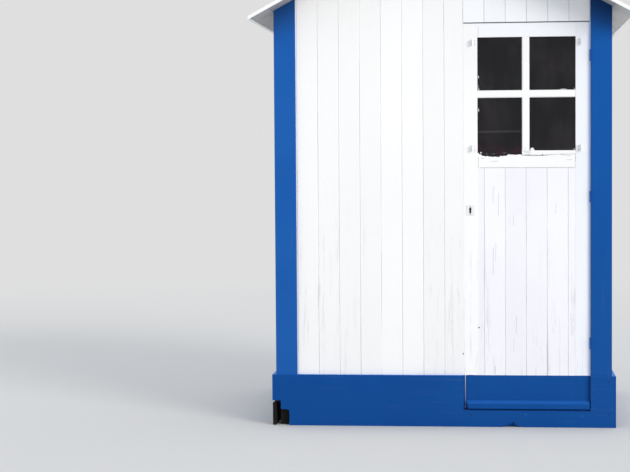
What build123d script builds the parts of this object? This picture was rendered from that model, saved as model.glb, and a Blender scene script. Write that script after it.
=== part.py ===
from build123d import *
from math import cos, radians, tan
import os

# Beach hut: one small boarded room with a gable roof, a planted corner board at each corner,
# a plinth board round the foot and one part-glazed door in the front.
# Millimetres. Z is up, the front looks towards -Y, X runs to the right as one faces the front.
# The origin is on the ground in the middle of the plan.

# Boards and cladding
BOARD = 105.0               # cover width of one tongued and grooved board
FRONT_BOARDS = 16           # boards across the front
SIDE_BOARDS = 13            # boards along a side
CLAD = 19.0                 # thickness of the boards
V_WIDE, V_DEEP = 5.0, 2.5   # V joint between two boards
SET_IN = 7.5                # how far the joints left of the door stand off the boards' even spacing
STUD = 45.0                 # side of the square framing timber
EASE = 2.0                  # small bevel on the arrises of planted boards
JOINT = 0.3                 # butt joint between like pieces

# Plan
HALF = FRONT_BOARDS * BOARD / 2        # outer face of a side wall
BACK = SIDE_BOARDS * BOARD / 2         # outer face of the back wall
FRONT = -BACK                          # outer face of the front wall
INNER_X = HALF - CLAD                  # inner face of a side wall
INNER_Y = BACK - CLAD                  # inner face of the front or back wall
POST_X = INNER_X - STUD                # room side of the framing on a side wall
POST_Y = INNER_Y - STUD                # room side of the framing on the front or back wall

# Floor and plinth
FLOOR_TOP = 86.0
FLOOR_T = 19.0
BEARERS = 4
PLINTH_TOP = 258.0
PLINTH_T = 20.0
STRIP_TOP = 82.0            # top of the plinth where it passes below the door
CORNER_W = BOARD            # width of a corner board
CORNER_T = 15.0
CORNER_MORE = 3.0           # how much wider the front left corner board is

# Doorway and door leaf
DOOR_L = BOARD              # left side of the doorway
DOOR_BOARDS = 6             # boards over the doorway, which is as wide as they are
DOOR_R = DOOR_L + DOOR_BOARDS * BOARD  # right side of the doorway
DOOR_HEAD = 2019.0          # underside of the boards over the door
SIDE_GAP = 5.0              # gap between the leaf and each side of the doorway
HEAD_GAP = 6.0
LEAF_L = DOOR_L + SIDE_GAP
LEAF_R = DOOR_R - SIDE_GAP
LEAF_TOP = DOOR_HEAD - HEAD_GAP
LEAF_BOTTOM = FLOOR_TOP + 6.0
LEAF_T = 28.0               # thickness of the stiles and rails
STILE_W = 68.0
PANEL_IN = 1.0              # how far the leaf's boards lie behind its stiles
PANEL_BOARD = 103.7         # cover width of one of the leaf's boards
TOP_RAIL_H = 69.0
STOP_W = 17.0
STOP_GAP = 5.0              # gap between the back of the leaf and the stop

# Window in the leaf
WINDOW_H = 563.0            # from the middle rail to the top rail
WINDOW_TOP = LEAF_TOP - TOP_RAIL_H
WINDOW_FOOT = WINDOW_TOP - WINDOW_H
WINDOW_L = LEAF_L + STILE_W
WINDOW_R = LEAF_R - STILE_W
MID_RAIL_H = 85.0
MID_RAIL_Z = WINDOW_FOOT - MID_RAIL_H
BAR_W = 37.0
BAR_L = WINDOW_L + 220.0    # left side of the upright glazing bar
BAR_R = BAR_L + BAR_W
BAR_FOOT_Z = WINDOW_FOOT + 263.0   # underside of the level glazing bar
BAR_HEAD_Z = BAR_FOOT_Z + BAR_W
BAR_IN = 2.0                # how far the bars lie behind the stiles
BAR_EASE = 4.0
GLASS_IN = 12.0
GLASS_T = 4.0
ROT_DEPTH = 37.0            # how far the lower left pane runs down where its bead has rotted away

# Hinges: the pin stands just in front of the plinth, so that the leaf opens outwards
PIN_X = DOOR_R - SIDE_GAP / 2
PIN_Y = FRONT - PLINTH_T - 3.0
HINGE_Z = (PLINTH_TOP + 162.0, MID_RAIL_Z - 146.0, LEAF_TOP - 163.0)
KNUCKLE_R = 3.0
KNUCKLE_L = 18.0
KNUCKLE_GAP = 0.5
PIN_R = 1.5
BORE_R = 1.7
PLATE_T = 2.0
PLATE_CUT = 6.0             # how far the plates stay from the pin

# Weather bar
DRIP_FOOT = 91.0
DRIP_NOSE = 117.0
DRIP_BACK = 132.0
DRIP_OUT = 24.0
DRIP_SKEW = (8.0, 20.0)     # how much its left end is cut back above and below

# Fittings
KEY_X, KEY_Z = LEAF_L + 31.0, MID_RAIL_Z - 212.0
KEY_PLATE = (42.0, 52.0, 2.0)
KEY_R = 6.0
LOCK = (44.0, 95.0, 18.0)
LOCK_X = LEAF_L + 45.0
CLIP_W, CLIP_H, CLIP_T, CLIP_OUT = 25.0, 32.0, 2.0, 22.0
CLIP_Z = (WINDOW_TOP - 25.0, WINDOW_FOOT + 13.0)   # middle of the upper and of the lower pair
CLIP_IN = 2.0               # how far a clip stays from the glass

# Frame
RAFTER_D = 70.0
RIDGE_D = 110.0
RAFTERS = 3
HEAD_ROOM = 2.4             # from the door head up to the rafter beside it
RAIL_Z = 1000.0             # underside of the rails half way up the walls
FRONT_STUD = -412.5         # left side of the stud in the front
BACK_STUD = 257.5           # inner side of the studs in the back

# Roof
PITCH = radians(28.2)
SOFFIT_RIDGE = DOOR_HEAD + STUD + HEAD_ROOM + RAFTER_D / cos(PITCH) + DOOR_R * tan(PITCH)
EAVE_OVER = 105.0           # how far the roof runs past the side walls
VERGE_OVER = 200.0          # how far the roof runs past the front and back walls
DECK = 12.0                 # roof boards, measured square to the slope
FELT = 3.0
TRIM_H = 16.0               # edge trim, measured square to the slope
TRIM_T = 10.0
CAP_HALF = 120.0            # reach of the ridge cap down each slope

# Broken lower left corner, as offsets from the plinth's outer corner on the ground, to the right
# on the front and to the back on the side: plinth and boards have rotted away there
PLINTH_BREAK = [(0, 127), (24, 126), (42, 127.5), (43, 104), (42, 86), (46, 81), (62, 82), (84, 79),
                (87, 46), (84, 0)]
CLAD_BREAK = [(0, 142), (30, 138), (54, 133), (66, 104), (98, 96), (112, 52), (108, 0)]
PLINTH_SIDE_BREAK = [(0, 127), (38, 124), (74, 112), (98, 84), (131, 76), (160, 40), (168, 0)]
CLAD_SIDE_BREAK = [(0, 118), (30, 116), (62, 100), (84, 72), (120, 58), (138, 0)]
# Bite that has rotted out of the plinth's foot below the door, as offsets from the doorway's left
FOOT_BITE = [(191, 0), (202, 7), (215, 11), (225, 15), (237, 17), (250, 26), (255, 16), (262, 10),
             (276, 4), (299, 0)]
# Ragged edge below the lower left pane, as offsets from the pane's lower left corner
RAIL_BREAK = [(0, 18), (6, 12), (12, 14), (23, 9), (36, 5), (54, 3), (65, 6), (84, 4), (103, 8),
              (118, 5), (144, 6), (153, 10), (174, 9), (193, 12), (216, 10), (257, 13)]
# Broken foot of the upright glazing bar, as offsets from the bar's lower left corner
BAR_BREAK = [(0, -21), (9, -24), (17, -19), (24, -23), (31, -12), (37, -8)]

os.makedirs("parts", exist_ok=True)


def soffit(x, above=0.0):
    """Height of the roof's underside at x, or of a face that lies that far above it."""
    return SOFFIT_RIDGE - abs(x) * tan(PITCH) + above / cos(PITCH)


def block(x, y, z):
    """A box from three pairs of limits."""
    size = [high - low for low, high in (x, y, z)]
    middle = [(low + high) / 2 for low, high in (x, y, z)]
    return Pos(*middle) * Box(*size)


def slab(points, y):
    """A flat piece with an outline seen from the front, between two depths."""
    face = Plane.XZ.offset(-y[0]) * Polygon(*points, align=None)
    return extrude(face, amount=y[1] - y[0], dir=(0, 1, 0))


def length(points, x):
    """A long piece with an outline seen from the right, between two ends."""
    face = Plane.YZ.offset(x[0]) * Polygon(*points, align=None)
    return extrude(face, amount=x[1] - x[0], dir=(1, 0, 0))


def mirrored(shape):
    """The same piece on the other side of the hut."""
    return mirror(shape, about=Plane.YZ)


def write(name, *solids):
    """Writes one piece, or several like pieces that stand apart, as one node."""
    shape = solids[0] if len(solids) == 1 else Compound(children=list(solids))
    export_step(shape, f"parts/{name}.step")


def from_corner(points):
    """Points of a break, from offsets to the plinth's outer corner."""
    return [(-HALF - PLINTH_T + x, z) for x, z in points]


def gone(points):
    """A break's outline carried past the outer corner and the ground, ready to be cut away."""
    (first, top), (last, foot) = points[0], points[-1]
    return [(first - EASE, -EASE), (first - EASE, top), *points[1:], (last, foot - EASE)]


def gone_from_side(points, x):
    """What has gone from a piece of the left side, between two places across the hut."""
    return length([(FRONT + y, z) for y, z in gone(points)], x)


def v_joint(x, face):
    """What a V joint takes from the boards of a front at x, whose outer face lies at that depth."""
    half = V_WIDE / 2 * (V_DEEP + EASE) / V_DEEP
    groove = Polygon((x - half, face - EASE), (x + half, face - EASE), (x, face + V_DEEP), align=None)
    return extrude(Pos(0, 0, -EASE) * groove, amount=SOFFIT_RIDGE + 2 * EASE)


def joints(start, count, apart=BOARD):
    """Places of a row of joints, one board apart."""
    return [start + i * apart for i in range(count)]


# Floor
def floor():
    """Bearers on the ground with the floor boards on them."""
    under = FLOOR_TOP - FLOOR_T
    step = (2 * INNER_Y - STUD) / (BEARERS - 1)
    starts = [-INNER_Y + i * step for i in range(BEARERS)]
    write("floor_bearers", *[block((-INNER_X, INNER_X), (y, y + STUD), (0, under)) for y in starts])
    write("floor_boards", block((-INNER_X, INNER_X), (-INNER_Y, INNER_Y), (under, FLOOR_TOP)))
    write("door_sill", block((DOOR_L, DOOR_R), (FRONT, -INNER_Y), (0, FLOOR_TOP)))


# Walls
def front_wall():
    """The front's boards, split beside and over the doorway."""
    depth = (FRONT, -INNER_Y)
    left = slab([(-INNER_X, 0), (DOOR_L, 0), (DOOR_L, soffit(DOOR_L)), (0, soffit(0)),
                 (-INNER_X, soffit(INNER_X))], depth)
    hole = slab(from_corner(gone(CLAD_BREAK)), (FRONT - EASE, -INNER_Y + EASE))
    left_joints = [v_joint(x, FRONT) for x in joints(-HALF + SET_IN + 2 * BOARD, FRONT_BOARDS // 2 - 1)]
    write("front_wall_left", left - hole - left_joints)
    write("front_wall_right", slab([(DOOR_R, 0), (INNER_X, 0), (INNER_X, soffit(INNER_X)),
                                    (DOOR_R, soffit(DOOR_R))], depth))
    over = slab([(DOOR_L, DOOR_HEAD), (DOOR_R, DOOR_HEAD), (DOOR_R, soffit(DOOR_R)),
                 (DOOR_L, soffit(DOOR_L))], depth)
    over_joints = [v_joint(x, FRONT) for x in joints(DOOR_L + BOARD, DOOR_BOARDS - 1)]
    write("front_wall_over_door", over - over_joints)


def back_wall():
    """The back's boards, whole from side to side."""
    outline = [(-INNER_X, 0), (INNER_X, 0), (INNER_X, soffit(INNER_X)), (0, soffit(0)),
               (-INNER_X, soffit(INNER_X))]
    cuts = [Rot(0, 0, 180) * v_joint(x, FRONT) for x in joints(-HALF + BOARD, FRONT_BOARDS - 1)]
    write("back_wall", slab(outline, (INNER_Y, BACK)) - cuts)


def side_walls():
    """The sides' boards, which cover the ends of the front and back walls."""
    outline = [(INNER_X, 0), (HALF, 0), (HALF, soffit(HALF)), (INNER_X, soffit(INNER_X))]
    cuts = [Rot(0, 0, 90) * v_joint(y, -HALF) for y in joints(FRONT + BOARD, SIDE_BOARDS - 1)]
    right = slab(outline, (FRONT, BACK)) - cuts
    write("side_wall_right", right)
    hole = gone_from_side(CLAD_SIDE_BREAK, (-HALF - EASE, -INNER_X + EASE))
    write("side_wall_left", mirrored(right) - hole)


def corner_boards():
    """Planted boards on the front and back faces, from the plinth to the roof."""
    def corner_board(inner):
        outline = [(inner, PLINTH_TOP), (HALF, PLINTH_TOP), (HALF, soffit(HALF)), (inner, soffit(inner))]
        board = slab(outline, (FRONT - CORNER_T, FRONT))
        return chamfer(board.edges().filter_by(Axis.Z).group_by(Axis.Y)[0], EASE)

    right = corner_board(HALF - CORNER_W)
    write("corner_board_front_right", right)
    write("corner_board_front_left", mirrored(corner_board(HALF - CORNER_W - CORNER_MORE)))
    back = mirror(right, about=Plane.XZ)
    write("corner_boards_back", back, mirrored(back))


def plinth():
    """Boards round the foot of the hut; the front one is cut down below the door."""
    out = HALF + PLINTH_T
    outline = [(out, 0), (out, PLINTH_TOP), (DOOR_R, PLINTH_TOP), (DOOR_R, STRIP_TOP),
               (DOOR_L, STRIP_TOP), (DOOR_L, PLINTH_TOP), (-out, PLINTH_TOP), *from_corner(PLINTH_BREAK),
               *[(DOOR_L + x, z) for x, z in FOOT_BITE]]
    front = slab(outline, (FRONT - PLINTH_T, FRONT))
    top_arris = front.edges().filter_by(Axis.X).filter_by_position(Axis.Z, PLINTH_TOP - 1, PLINTH_TOP + 1)
    write("plinth_front", chamfer(top_arris.group_by(Axis.Y)[0], EASE))

    back = block((-out, out), (BACK, BACK + PLINTH_T), (0, PLINTH_TOP))
    back_arris = back.edges().filter_by(Axis.X).group_by(Axis.Y)[-1].sort_by(Axis.Z)[-1]
    write("plinth_back", chamfer(back_arris, EASE))

    right = block((HALF, out), (FRONT, BACK), (0, PLINTH_TOP))
    right_arris = right.edges().filter_by(Axis.Y).group_by(Axis.X)[-1].sort_by(Axis.Z)[-1]
    right = chamfer(right_arris, EASE)
    write("plinth_right", right)
    hole = gone_from_side(PLINTH_SIDE_BREAK, (-out - EASE, -HALF + EASE))
    write("plinth_left", mirrored(right) - hole)


# Frame
def rafter_foot(x):
    """Height of the rafters' underside at x."""
    return soffit(x) - RAFTER_D / cos(PITCH)


def post(x, y):
    """A post or stud on the front or back wall that reaches up to the rafter over it."""
    low, high = x
    top = [(low, rafter_foot(low)), (high, rafter_foot(high))]
    return slab([(low, FLOOR_TOP), (high, FLOOR_TOP), top[1], top[0]], y)


def frame():
    """Posts, studs and rails inside the boards, with a plate along the top of each side."""
    plate_top = rafter_foot(POST_X)
    plate_foot = plate_top - STUD
    front, back = (-INNER_Y, -POST_Y), (POST_Y, INNER_Y)
    middle = (-STUD / 2, STUD / 2)
    side = (POST_X, INNER_X)

    corner = [block(side, y, (FLOOR_TOP, plate_foot)) for y in (front, middle, back)]
    studs_x = [FRONT_STUD]
    back_x = [-BACK_STUD - STUD, BACK_STUD]
    studs = [post((x, x + STUD), front) for x in studs_x] + [post((x, x + STUD), back) for x in back_x]
    write("wall_posts", *corner, *[mirrored(piece) for piece in corner], *studs)
    write("door_posts", post((DOOR_L - STUD, DOOR_L), front), post((DOOR_R, POST_X), front))
    write("door_head", block((DOOR_L, DOOR_R), front, (DOOR_HEAD, DOOR_HEAD + STUD)))

    plate = block(side, (-INNER_Y, INNER_Y), (plate_foot, plate_top))
    write("wall_plates", plate, mirrored(plate))

    rail_z = (RAIL_Z, RAIL_Z + STUD)
    front_ends = [-POST_X, *studs_x, DOOR_L - STUD]
    back_ends = [-POST_X, *back_x, POST_X]
    rails = []
    for ends, y in ((front_ends, front), (back_ends, back)):
        starts = [ends[0]] + [x + STUD for x in ends[1:-1]]
        rails += [block((low, high), y, rail_z) for low, high in zip(starts, ends[1:])]
    for y in ((-POST_Y, -STUD / 2), (STUD / 2, POST_Y)):
        rail = block(side, y, rail_z)
        rails += [rail, mirrored(rail)]
    write("wall_rails", *rails)


def door_stop():
    """Strip on the posts and the head that the closed leaf stands in front of."""
    depth = (FRONT + LEAF_T + STOP_GAP, -POST_Y)
    head = DOOR_HEAD - STOP_W
    sides = [(DOOR_L, DOOR_L + STOP_W), (DOOR_R - STOP_W, DOOR_R)]
    uprights = [block(x, depth, (FLOOR_TOP, head - JOINT)) for x in sides]
    write("door_stop", *uprights, block((DOOR_L, DOOR_R), depth, (head, DOOR_HEAD)))


# Roof
def sloped(x, above, y):
    """A layer of the right slope: limits in x, limits above the soffit and limits in depth."""
    low, high = above
    outline = [(x[0], soffit(x[0], low)), (x[1], soffit(x[1], low)),
               (x[1], soffit(x[1], high)), (x[0], soffit(x[0], high))]
    return slab(outline, y)


def roof():
    """Rafters and ridge beam, two boarded slopes with felt, edge trims and a ridge cap."""
    eave = HALF + EAVE_OVER
    verge = BACK + VERGE_OVER
    inner = (-verge + TRIM_T, verge - TRIM_T)

    foot = rafter_foot(POST_X)
    half = STUD / 2
    outline = [(half, soffit(half)), (half, rafter_foot(half)), (POST_X, foot), (INNER_X, foot),
               (INNER_X, soffit(INNER_X))]
    step = (2 * INNER_Y - STUD) / (RAFTERS - 1)
    right = [slab(outline, (-INNER_Y + i * step, -INNER_Y + i * step + STUD)) for i in range(RAFTERS)]
    write("rafters", *right, *[mirrored(piece) for piece in right])
    ridge = [(-half, SOFFIT_RIDGE - RIDGE_D), (half, SOFFIT_RIDGE - RIDGE_D), (half, soffit(half)),
             (0, soffit(0)), (-half, soffit(half))]
    write("ridge_beam", slab(ridge, (-INNER_Y, INNER_Y)))

    layers = {"roof_deck": (0, DECK), "roof_felt": (DECK, DECK + FELT)}
    for name, above in layers.items():
        layer = sloped((0, eave - TRIM_T), above, inner)
        write(f"{name}_right", layer)
        write(f"{name}_left", mirrored(layer))

    trim = sloped((eave - TRIM_T, eave), (0, TRIM_H), inner)
    write("eave_trims", trim, mirrored(trim))
    for name, y in (("front", (-verge, -verge + TRIM_T)), ("back", (verge - TRIM_T, verge))):
        trim = sloped((JOINT / 2, eave), (0, TRIM_H), y)
        write(f"verge_trim_{name}", trim, mirrored(trim))
    cap = sloped((0, CAP_HALF), (DECK + FELT, DECK + 2 * FELT), inner)
    write("ridge_cap", cap + mirrored(cap))


# Door leaf
def keyhole(y):
    """The hole for the key: round above, with a slot below."""
    plane = Plane.XZ.offset(-y[1])
    round_part = plane * Pos(KEY_X, KEY_Z + KEY_R) * Circle(KEY_R)
    slot = plane * Pos(KEY_X, KEY_Z - KEY_R) * Rectangle(1.5 * KEY_R, 3 * KEY_R)
    return extrude(round_part + slot, amount=y[1] - y[0])


def door_frame():
    """Stiles and rails of the leaf, with the boards between them."""
    depth = (FRONT, FRONT + LEAF_T)
    height = (LEAF_BOTTOM, LEAF_TOP)
    between = (WINDOW_L, WINDOW_R)
    lock_stile = block((LEAF_L, WINDOW_L), depth, height)
    write("door_stile_lock", lock_stile - keyhole((FRONT - EASE, FRONT + LEAF_T + EASE)))
    write("door_stile_hinge", block((WINDOW_R, LEAF_R), depth, height))
    write("door_top_rail", block(between, depth, (WINDOW_TOP, LEAF_TOP)))
    write("door_bottom_rail", block(between, depth, (LEAF_BOTTOM, PLINTH_TOP)))
    panel = (FRONT + PANEL_IN, FRONT + PANEL_IN + CLAD)
    cuts = [v_joint(x, panel[0]) for x in joints(DOOR_L + BOARD, DOOR_BOARDS - 1, PANEL_BOARD)]
    write("door_boards", block(between, panel, (PLINTH_TOP, MID_RAIL_Z)) - cuts)


def door_mid_rail():
    """The rail below the window. Left of the upright bar its bead has rotted to a ragged edge."""
    groove = WINDOW_FOOT - ROT_DEPTH
    body = slab([(WINDOW_L, MID_RAIL_Z), (WINDOW_R, MID_RAIL_Z), (WINDOW_R, WINDOW_FOOT),
                 (BAR_R, WINDOW_FOOT), (BAR_R, groove), (WINDOW_L, groove)], (FRONT, FRONT + LEAF_T))
    ragged = [(WINDOW_L + x, groove + z) for x, z in RAIL_BREAK]
    lip = slab([(BAR_R, groove), *reversed(ragged), (WINDOW_L, groove)], (FRONT, FRONT + GLASS_IN))
    behind_glass = (FRONT + GLASS_IN + GLASS_T, FRONT + LEAF_T)
    write("door_mid_rail", body + lip + block((WINDOW_L, BAR_R), behind_glass, (groove, WINDOW_FOOT)))


def window():
    """Two crossed glazing bars, the upright one broken at its foot, with a pane in each corner."""
    depth = (FRONT + BAR_IN, FRONT + LEAF_T - BAR_IN)
    level = block((WINDOW_L, WINDOW_R), depth, (BAR_FOOT_Z, BAR_HEAD_Z))
    bars = level + block((BAR_L, BAR_R), depth, (WINDOW_FOOT, WINDOW_TOP))
    arris = bars.edges().filter_by(lambda edge: abs(edge.center().Y - depth[0]) < JOINT)
    bars = chamfer(arris.filter_by(lambda edge: edge.length > BAR_W + EASE), BAR_EASE)
    stump = [(BAR_L + x, WINDOW_FOOT + z) for x, z in BAR_BREAK]
    foot = slab([*stump, (BAR_R, WINDOW_FOOT), (BAR_L, WINDOW_FOOT)], (depth[0], FRONT + GLASS_IN + GLASS_T))
    write("glazing_bars", bars + foot)

    glass = (FRONT + GLASS_IN, FRONT + GLASS_IN + GLASS_T)
    left, right = (WINDOW_L, BAR_L), (BAR_R, WINDOW_R)
    low_left = block(left, glass, (WINDOW_FOOT - ROT_DEPTH, BAR_FOOT_Z))
    low_right = block(right, glass, (WINDOW_FOOT, BAR_FOOT_Z))
    upper = [block(x, glass, (BAR_HEAD_Z, WINDOW_TOP)) for x in (left, right)]
    write("window_panes", low_left, low_right, *upper)


def weather_bar():
    """Sloped bar across the foot of the leaf, its left end cut askew."""
    face = FRONT - DRIP_OUT
    outline = [(FRONT, DRIP_FOOT), (face + EASE, DRIP_FOOT), (face, DRIP_FOOT + EASE), (face, DRIP_NOSE),
               (FRONT, DRIP_BACK)]
    bar = length(outline, (LEAF_L, LEAF_R))
    above, below = DRIP_SKEW
    skew = [(LEAF_L - EASE, DRIP_FOOT), (LEAF_L + below, DRIP_FOOT), (LEAF_L + above, DRIP_BACK),
            (LEAF_L - EASE, DRIP_BACK)]
    write("weather_bar", bar - slab(skew, (face - EASE, FRONT + EASE)))


def lock():
    """Plate with a keyhole on the face of the lock stile, and the lock on its back."""
    wide, high, thick = KEY_PLATE
    plate = block((KEY_X - wide / 2, KEY_X + wide / 2), (FRONT - thick, FRONT),
                  (KEY_Z - high / 2, KEY_Z + high / 2))
    plate = chamfer(plate.faces().sort_by(Axis.Y)[0].edges(), thick / 2)
    write("key_plate", plate - keyhole((FRONT - 2 * thick, FRONT + thick)))
    wide, high, deep = LOCK
    back = FRONT + LEAF_T
    case = block((LOCK_X - wide / 2, LOCK_X + wide / 2), (back, back + deep),
                 (KEY_Z - high / 2, KEY_Z + high / 2))
    case = fillet(case.faces().sort_by(Axis.Y)[-1].edges(), EASE)
    write("door_lock", case - keyhole((back - EASE, back + deep / 2)))


def shutter_clips():
    """Four angle clips at the corners of the window, each with its leg on the side away from it."""
    clips = []
    for z in CLIP_Z:
        height = (z - CLIP_H / 2, z + CLIP_H / 2)
        for edge, side in ((WINDOW_L, -1), (WINDOW_R, 1)):
            near, far = edge + side * CLIP_IN, edge + side * (CLIP_IN + CLIP_W)
            flange = block(sorted((near, far)), (FRONT - CLIP_T, FRONT), height)
            leg = block(sorted((far, far - side * CLIP_T)), (FRONT - CLIP_OUT, FRONT), height)
            clips.append(flange + leg)
    write("shutter_clips", *clips)


# Hinges
def knuckle(z):
    """One knuckle of a hinge, solid, with its middle at that height."""
    return Pos(PIN_X, PIN_Y, z) * Cylinder(KNUCKLE_R, KNUCKLE_L - KNUCKLE_GAP)


def plate(x, z, knuckles):
    """A hinge plate in the gap, reaching the pin only at its own knuckles."""
    reach = 1.5 * KNUCKLE_L
    tab = (KNUCKLE_L - KNUCKLE_GAP) / 2
    shape = block(x, (PIN_Y + PLATE_CUT, FRONT + LEAF_T), (z - reach, z + reach))
    for middle in knuckles:
        shape += block(x, (PIN_Y, PIN_Y + PLATE_CUT), (middle - tab, middle + tab)) + knuckle(middle)
    return shape


def hinges():
    """Three butt hinges: the outer knuckles and the pin stay with the hut."""
    fixed, moving = [], []
    for z in HINGE_Z:
        pin = Pos(PIN_X, PIN_Y, z) * Cylinder(PIN_R, 3 * KNUCKLE_L)
        bore = Pos(PIN_X, PIN_Y, z) * Cylinder(BORE_R, 3 * KNUCKLE_L)
        outer = (z - KNUCKLE_L, z + KNUCKLE_L)
        fixed.append(plate((DOOR_R - PLATE_T, DOOR_R), z, outer) + pin)
        moving.append(plate((LEAF_R, LEAF_R + PLATE_T), z, (z,)) - bore)
    write("door_hinges_fixed", *fixed)
    write("door_hinges_moving", *moving)


floor()
front_wall()
back_wall()
side_walls()
corner_boards()
plinth()
frame()
door_stop()
roof()
door_frame()
door_mid_rail()
window()
weather_bar()
lock()
shutter_clips()
hinges()
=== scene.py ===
# %% [markdown]
# # A weathered beach hut, dressed over its measured frame
# The hut is a boarded room 1.7 metres wide with a gable roof and a glazed door. Its sizes come from a
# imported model, which is loaded first and never moved. Blender adds what the plain solids lack: separate
# boards with their V joints, rounded arrises, screws and nails, lapped felt, and paint that has aged.

import random
from functools import partial
from math import cos, radians, sin, tan

import bmesh
import bpy
from mathutils import Matrix, Vector


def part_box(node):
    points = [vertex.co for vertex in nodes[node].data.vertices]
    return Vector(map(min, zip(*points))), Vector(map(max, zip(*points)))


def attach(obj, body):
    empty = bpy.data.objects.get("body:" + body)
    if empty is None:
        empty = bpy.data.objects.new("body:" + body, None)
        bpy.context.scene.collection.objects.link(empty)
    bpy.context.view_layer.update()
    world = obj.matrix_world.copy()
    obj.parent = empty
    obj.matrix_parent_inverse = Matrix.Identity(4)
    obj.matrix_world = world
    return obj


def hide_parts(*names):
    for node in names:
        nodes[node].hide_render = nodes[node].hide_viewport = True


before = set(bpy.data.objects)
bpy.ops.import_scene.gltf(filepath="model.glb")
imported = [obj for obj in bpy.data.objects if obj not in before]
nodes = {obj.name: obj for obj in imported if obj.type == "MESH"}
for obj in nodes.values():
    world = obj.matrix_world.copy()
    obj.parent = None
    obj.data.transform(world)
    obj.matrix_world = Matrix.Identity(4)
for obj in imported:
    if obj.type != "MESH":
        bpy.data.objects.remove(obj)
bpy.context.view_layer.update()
scene = bpy.context.scene
scene.view_settings.view_transform = "Standard"

# %% [markdown]
# ## The camera
# The hut was photographed with a long lens from about nine metres, below eye height, looking a little
# down. The place and the turn come from fitting the straight edges of the boards, the plinth, the window
# and the door to the picture, so that each edge falls on the same pixel here. Three turns are enough:
# about the upright for the yaw, about the level for the pitch, and about the line of sight for the roll.

# %% Set up the camera
PHOTO_WIDE, PHOTO_HIGH = 630, 472
YAW, PITCH_DOWN, ROLL = radians(5.80), radians(2.590), radians(-0.400)

camera_data = bpy.data.cameras.new("camera")
camera_data.sensor_width = 36.0
camera_data.lens = 100.0
camera = bpy.data.objects.new("camera", camera_data)
scene.collection.objects.link(camera)
turn = (Matrix.Rotation(YAW, 4, "Z") @ Matrix.Rotation(radians(90) - PITCH_DOWN, 4, "X")
        @ Matrix.Rotation(ROLL, 4, "Z"))
camera.matrix_world = Matrix.Translation((0.2515, -9.4518, 1.3568)) @ turn
scene.camera = camera
print("lens", camera_data.lens, "aspect", round(PHOTO_WIDE / PHOTO_HIGH, 3))

# %% [markdown]
# ## Small helpers for node trees
# Shader trees and Geometry Nodes trees are both built in code here. A few short helpers keep the recipes
# readable: one adds a node and wires or sets its inputs, some add a sum, and one opens a group with named
# inputs and outputs. A socket knows the tree that it is in, so the sums need not be told. The last helper
# is for meshes: it puts a finished shape in the scene.

# %% Helpers that add nodes
FLOAT, INT, VECTOR, COLOUR, MATERIAL, OBJECT, SHAPE = [
    "NodeSocket" + kind for kind in ("Float", "Int", "Vector", "Color", "Material", "Object", "Geometry")]


def put(tree, kind, inputs=None, **settings):
    """Adds a node. A socket given as an input is linked, and any other value is set."""
    made = tree.nodes.new(kind)
    for key, value in settings.items():
        setattr(made, key, value)
    for key, value in (inputs or {}).items():
        if isinstance(value, bpy.types.NodeSocket):
            tree.links.new(value, made.inputs[key])
        else:
            made.inputs[key].default_value = value
    return made


def get(tree, kind, inputs=None, output=0, **settings):
    """Adds a node and gives one of its outputs, the first unless another is named."""
    return put(tree, kind, inputs, **settings).outputs[output]


def link(value, target):
    """Links one socket to another."""
    target.id_data.links.new(value, target)


def open_group(name, kind, inputs, outputs):
    """A node group, with its input sockets by name and its output sockets by name."""
    tree = bpy.data.node_groups.new(name, kind)
    for label, socket_type, value in inputs:
        socket = tree.interface.new_socket(name=label, in_out="INPUT", socket_type=socket_type)
        if value is not None:
            socket.default_value = value
    for label, socket_type in outputs:
        tree.interface.new_socket(name=label, in_out="OUTPUT", socket_type=socket_type)
    return tree, put(tree, "NodeGroupInput").outputs, put(tree, "NodeGroupOutput").inputs


print("node helpers ready")


# %% Helpers for sums
def sums(operation, a, b=0.0, c=0.0, clamp=False):
    """The result of one sum on numbers, of which one or more are sockets."""
    tree = next(value.id_data for value in (a, b, c) if isinstance(value, bpy.types.NodeSocket))
    return get(tree, "ShaderNodeMath", {0: a, 1: b, 2: c}, operation=operation, use_clamp=clamp)


def times(a, b):
    return sums("MULTIPLY", a, b)


def plus(a, b, clamp=False):
    return sums("ADD", a, b, clamp=clamp)


def less(a, b):
    return sums("SUBTRACT", a, b)


def fade(value, low, high, start=0.0, end=1.0):
    """Goes smoothly from start to end while value goes from low to high."""
    return get(value.id_data, "ShaderNodeMapRange", {0: value, 1: low, 2: high, 3: start, 4: end},
               interpolation_type="SMOOTHSTEP")


def compare(a, relation, b):
    """Whether one number is less or greater than another."""
    return get(a.id_data, "FunctionNodeCompare", {0: a, 1: b}, data_type="FLOAT", operation=relation)


def split(vector):
    """The parts X, Y and Z of a vector."""
    return put(vector.id_data, "ShaderNodeSeparateXYZ", {0: vector}).outputs


def joined(x, y=0.0, z=0.0):
    """A vector from its parts."""
    return get(x.id_data, "ShaderNodeCombineXYZ", {0: x, 1: y, 2: z})


print("sum helpers ready")


# %% Helpers for colours and finishes
def mix(factor, a, b, mode="MIX"):
    """A blend of two colours."""
    return get(factor.id_data, "ShaderNodeMix", {0: factor, 6: a, 7: b}, 2, data_type="RGBA", blend_type=mode,
               clamp_factor=True)


def colour(red, green, blue):
    """A colour picked on a screen, as 0 to 255, turned into the linear value that shaders use."""
    part = [v / 255 for v in (red, green, blue)]
    return (*[v / 12.92 if v < 0.04045 else ((v + 0.055) / 1.055) ** 2.4 for v in part], 1.0)


def noise(vector, scale, detail=3.0, roughness=0.55):
    """Soft noise from 0 to 1, most of it near the middle."""
    return get(vector.id_data, "ShaderNodeTexNoise", {"Vector": vector, "Scale": scale, "Detail": detail,
                                                      "Roughness": roughness})


def stretched(vector, amount):
    """Coordinates with each axis multiplied by its own amount."""
    return get(vector.id_data, "ShaderNodeVectorMath", {0: vector, 1: amount}, operation="MULTIPLY")


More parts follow.
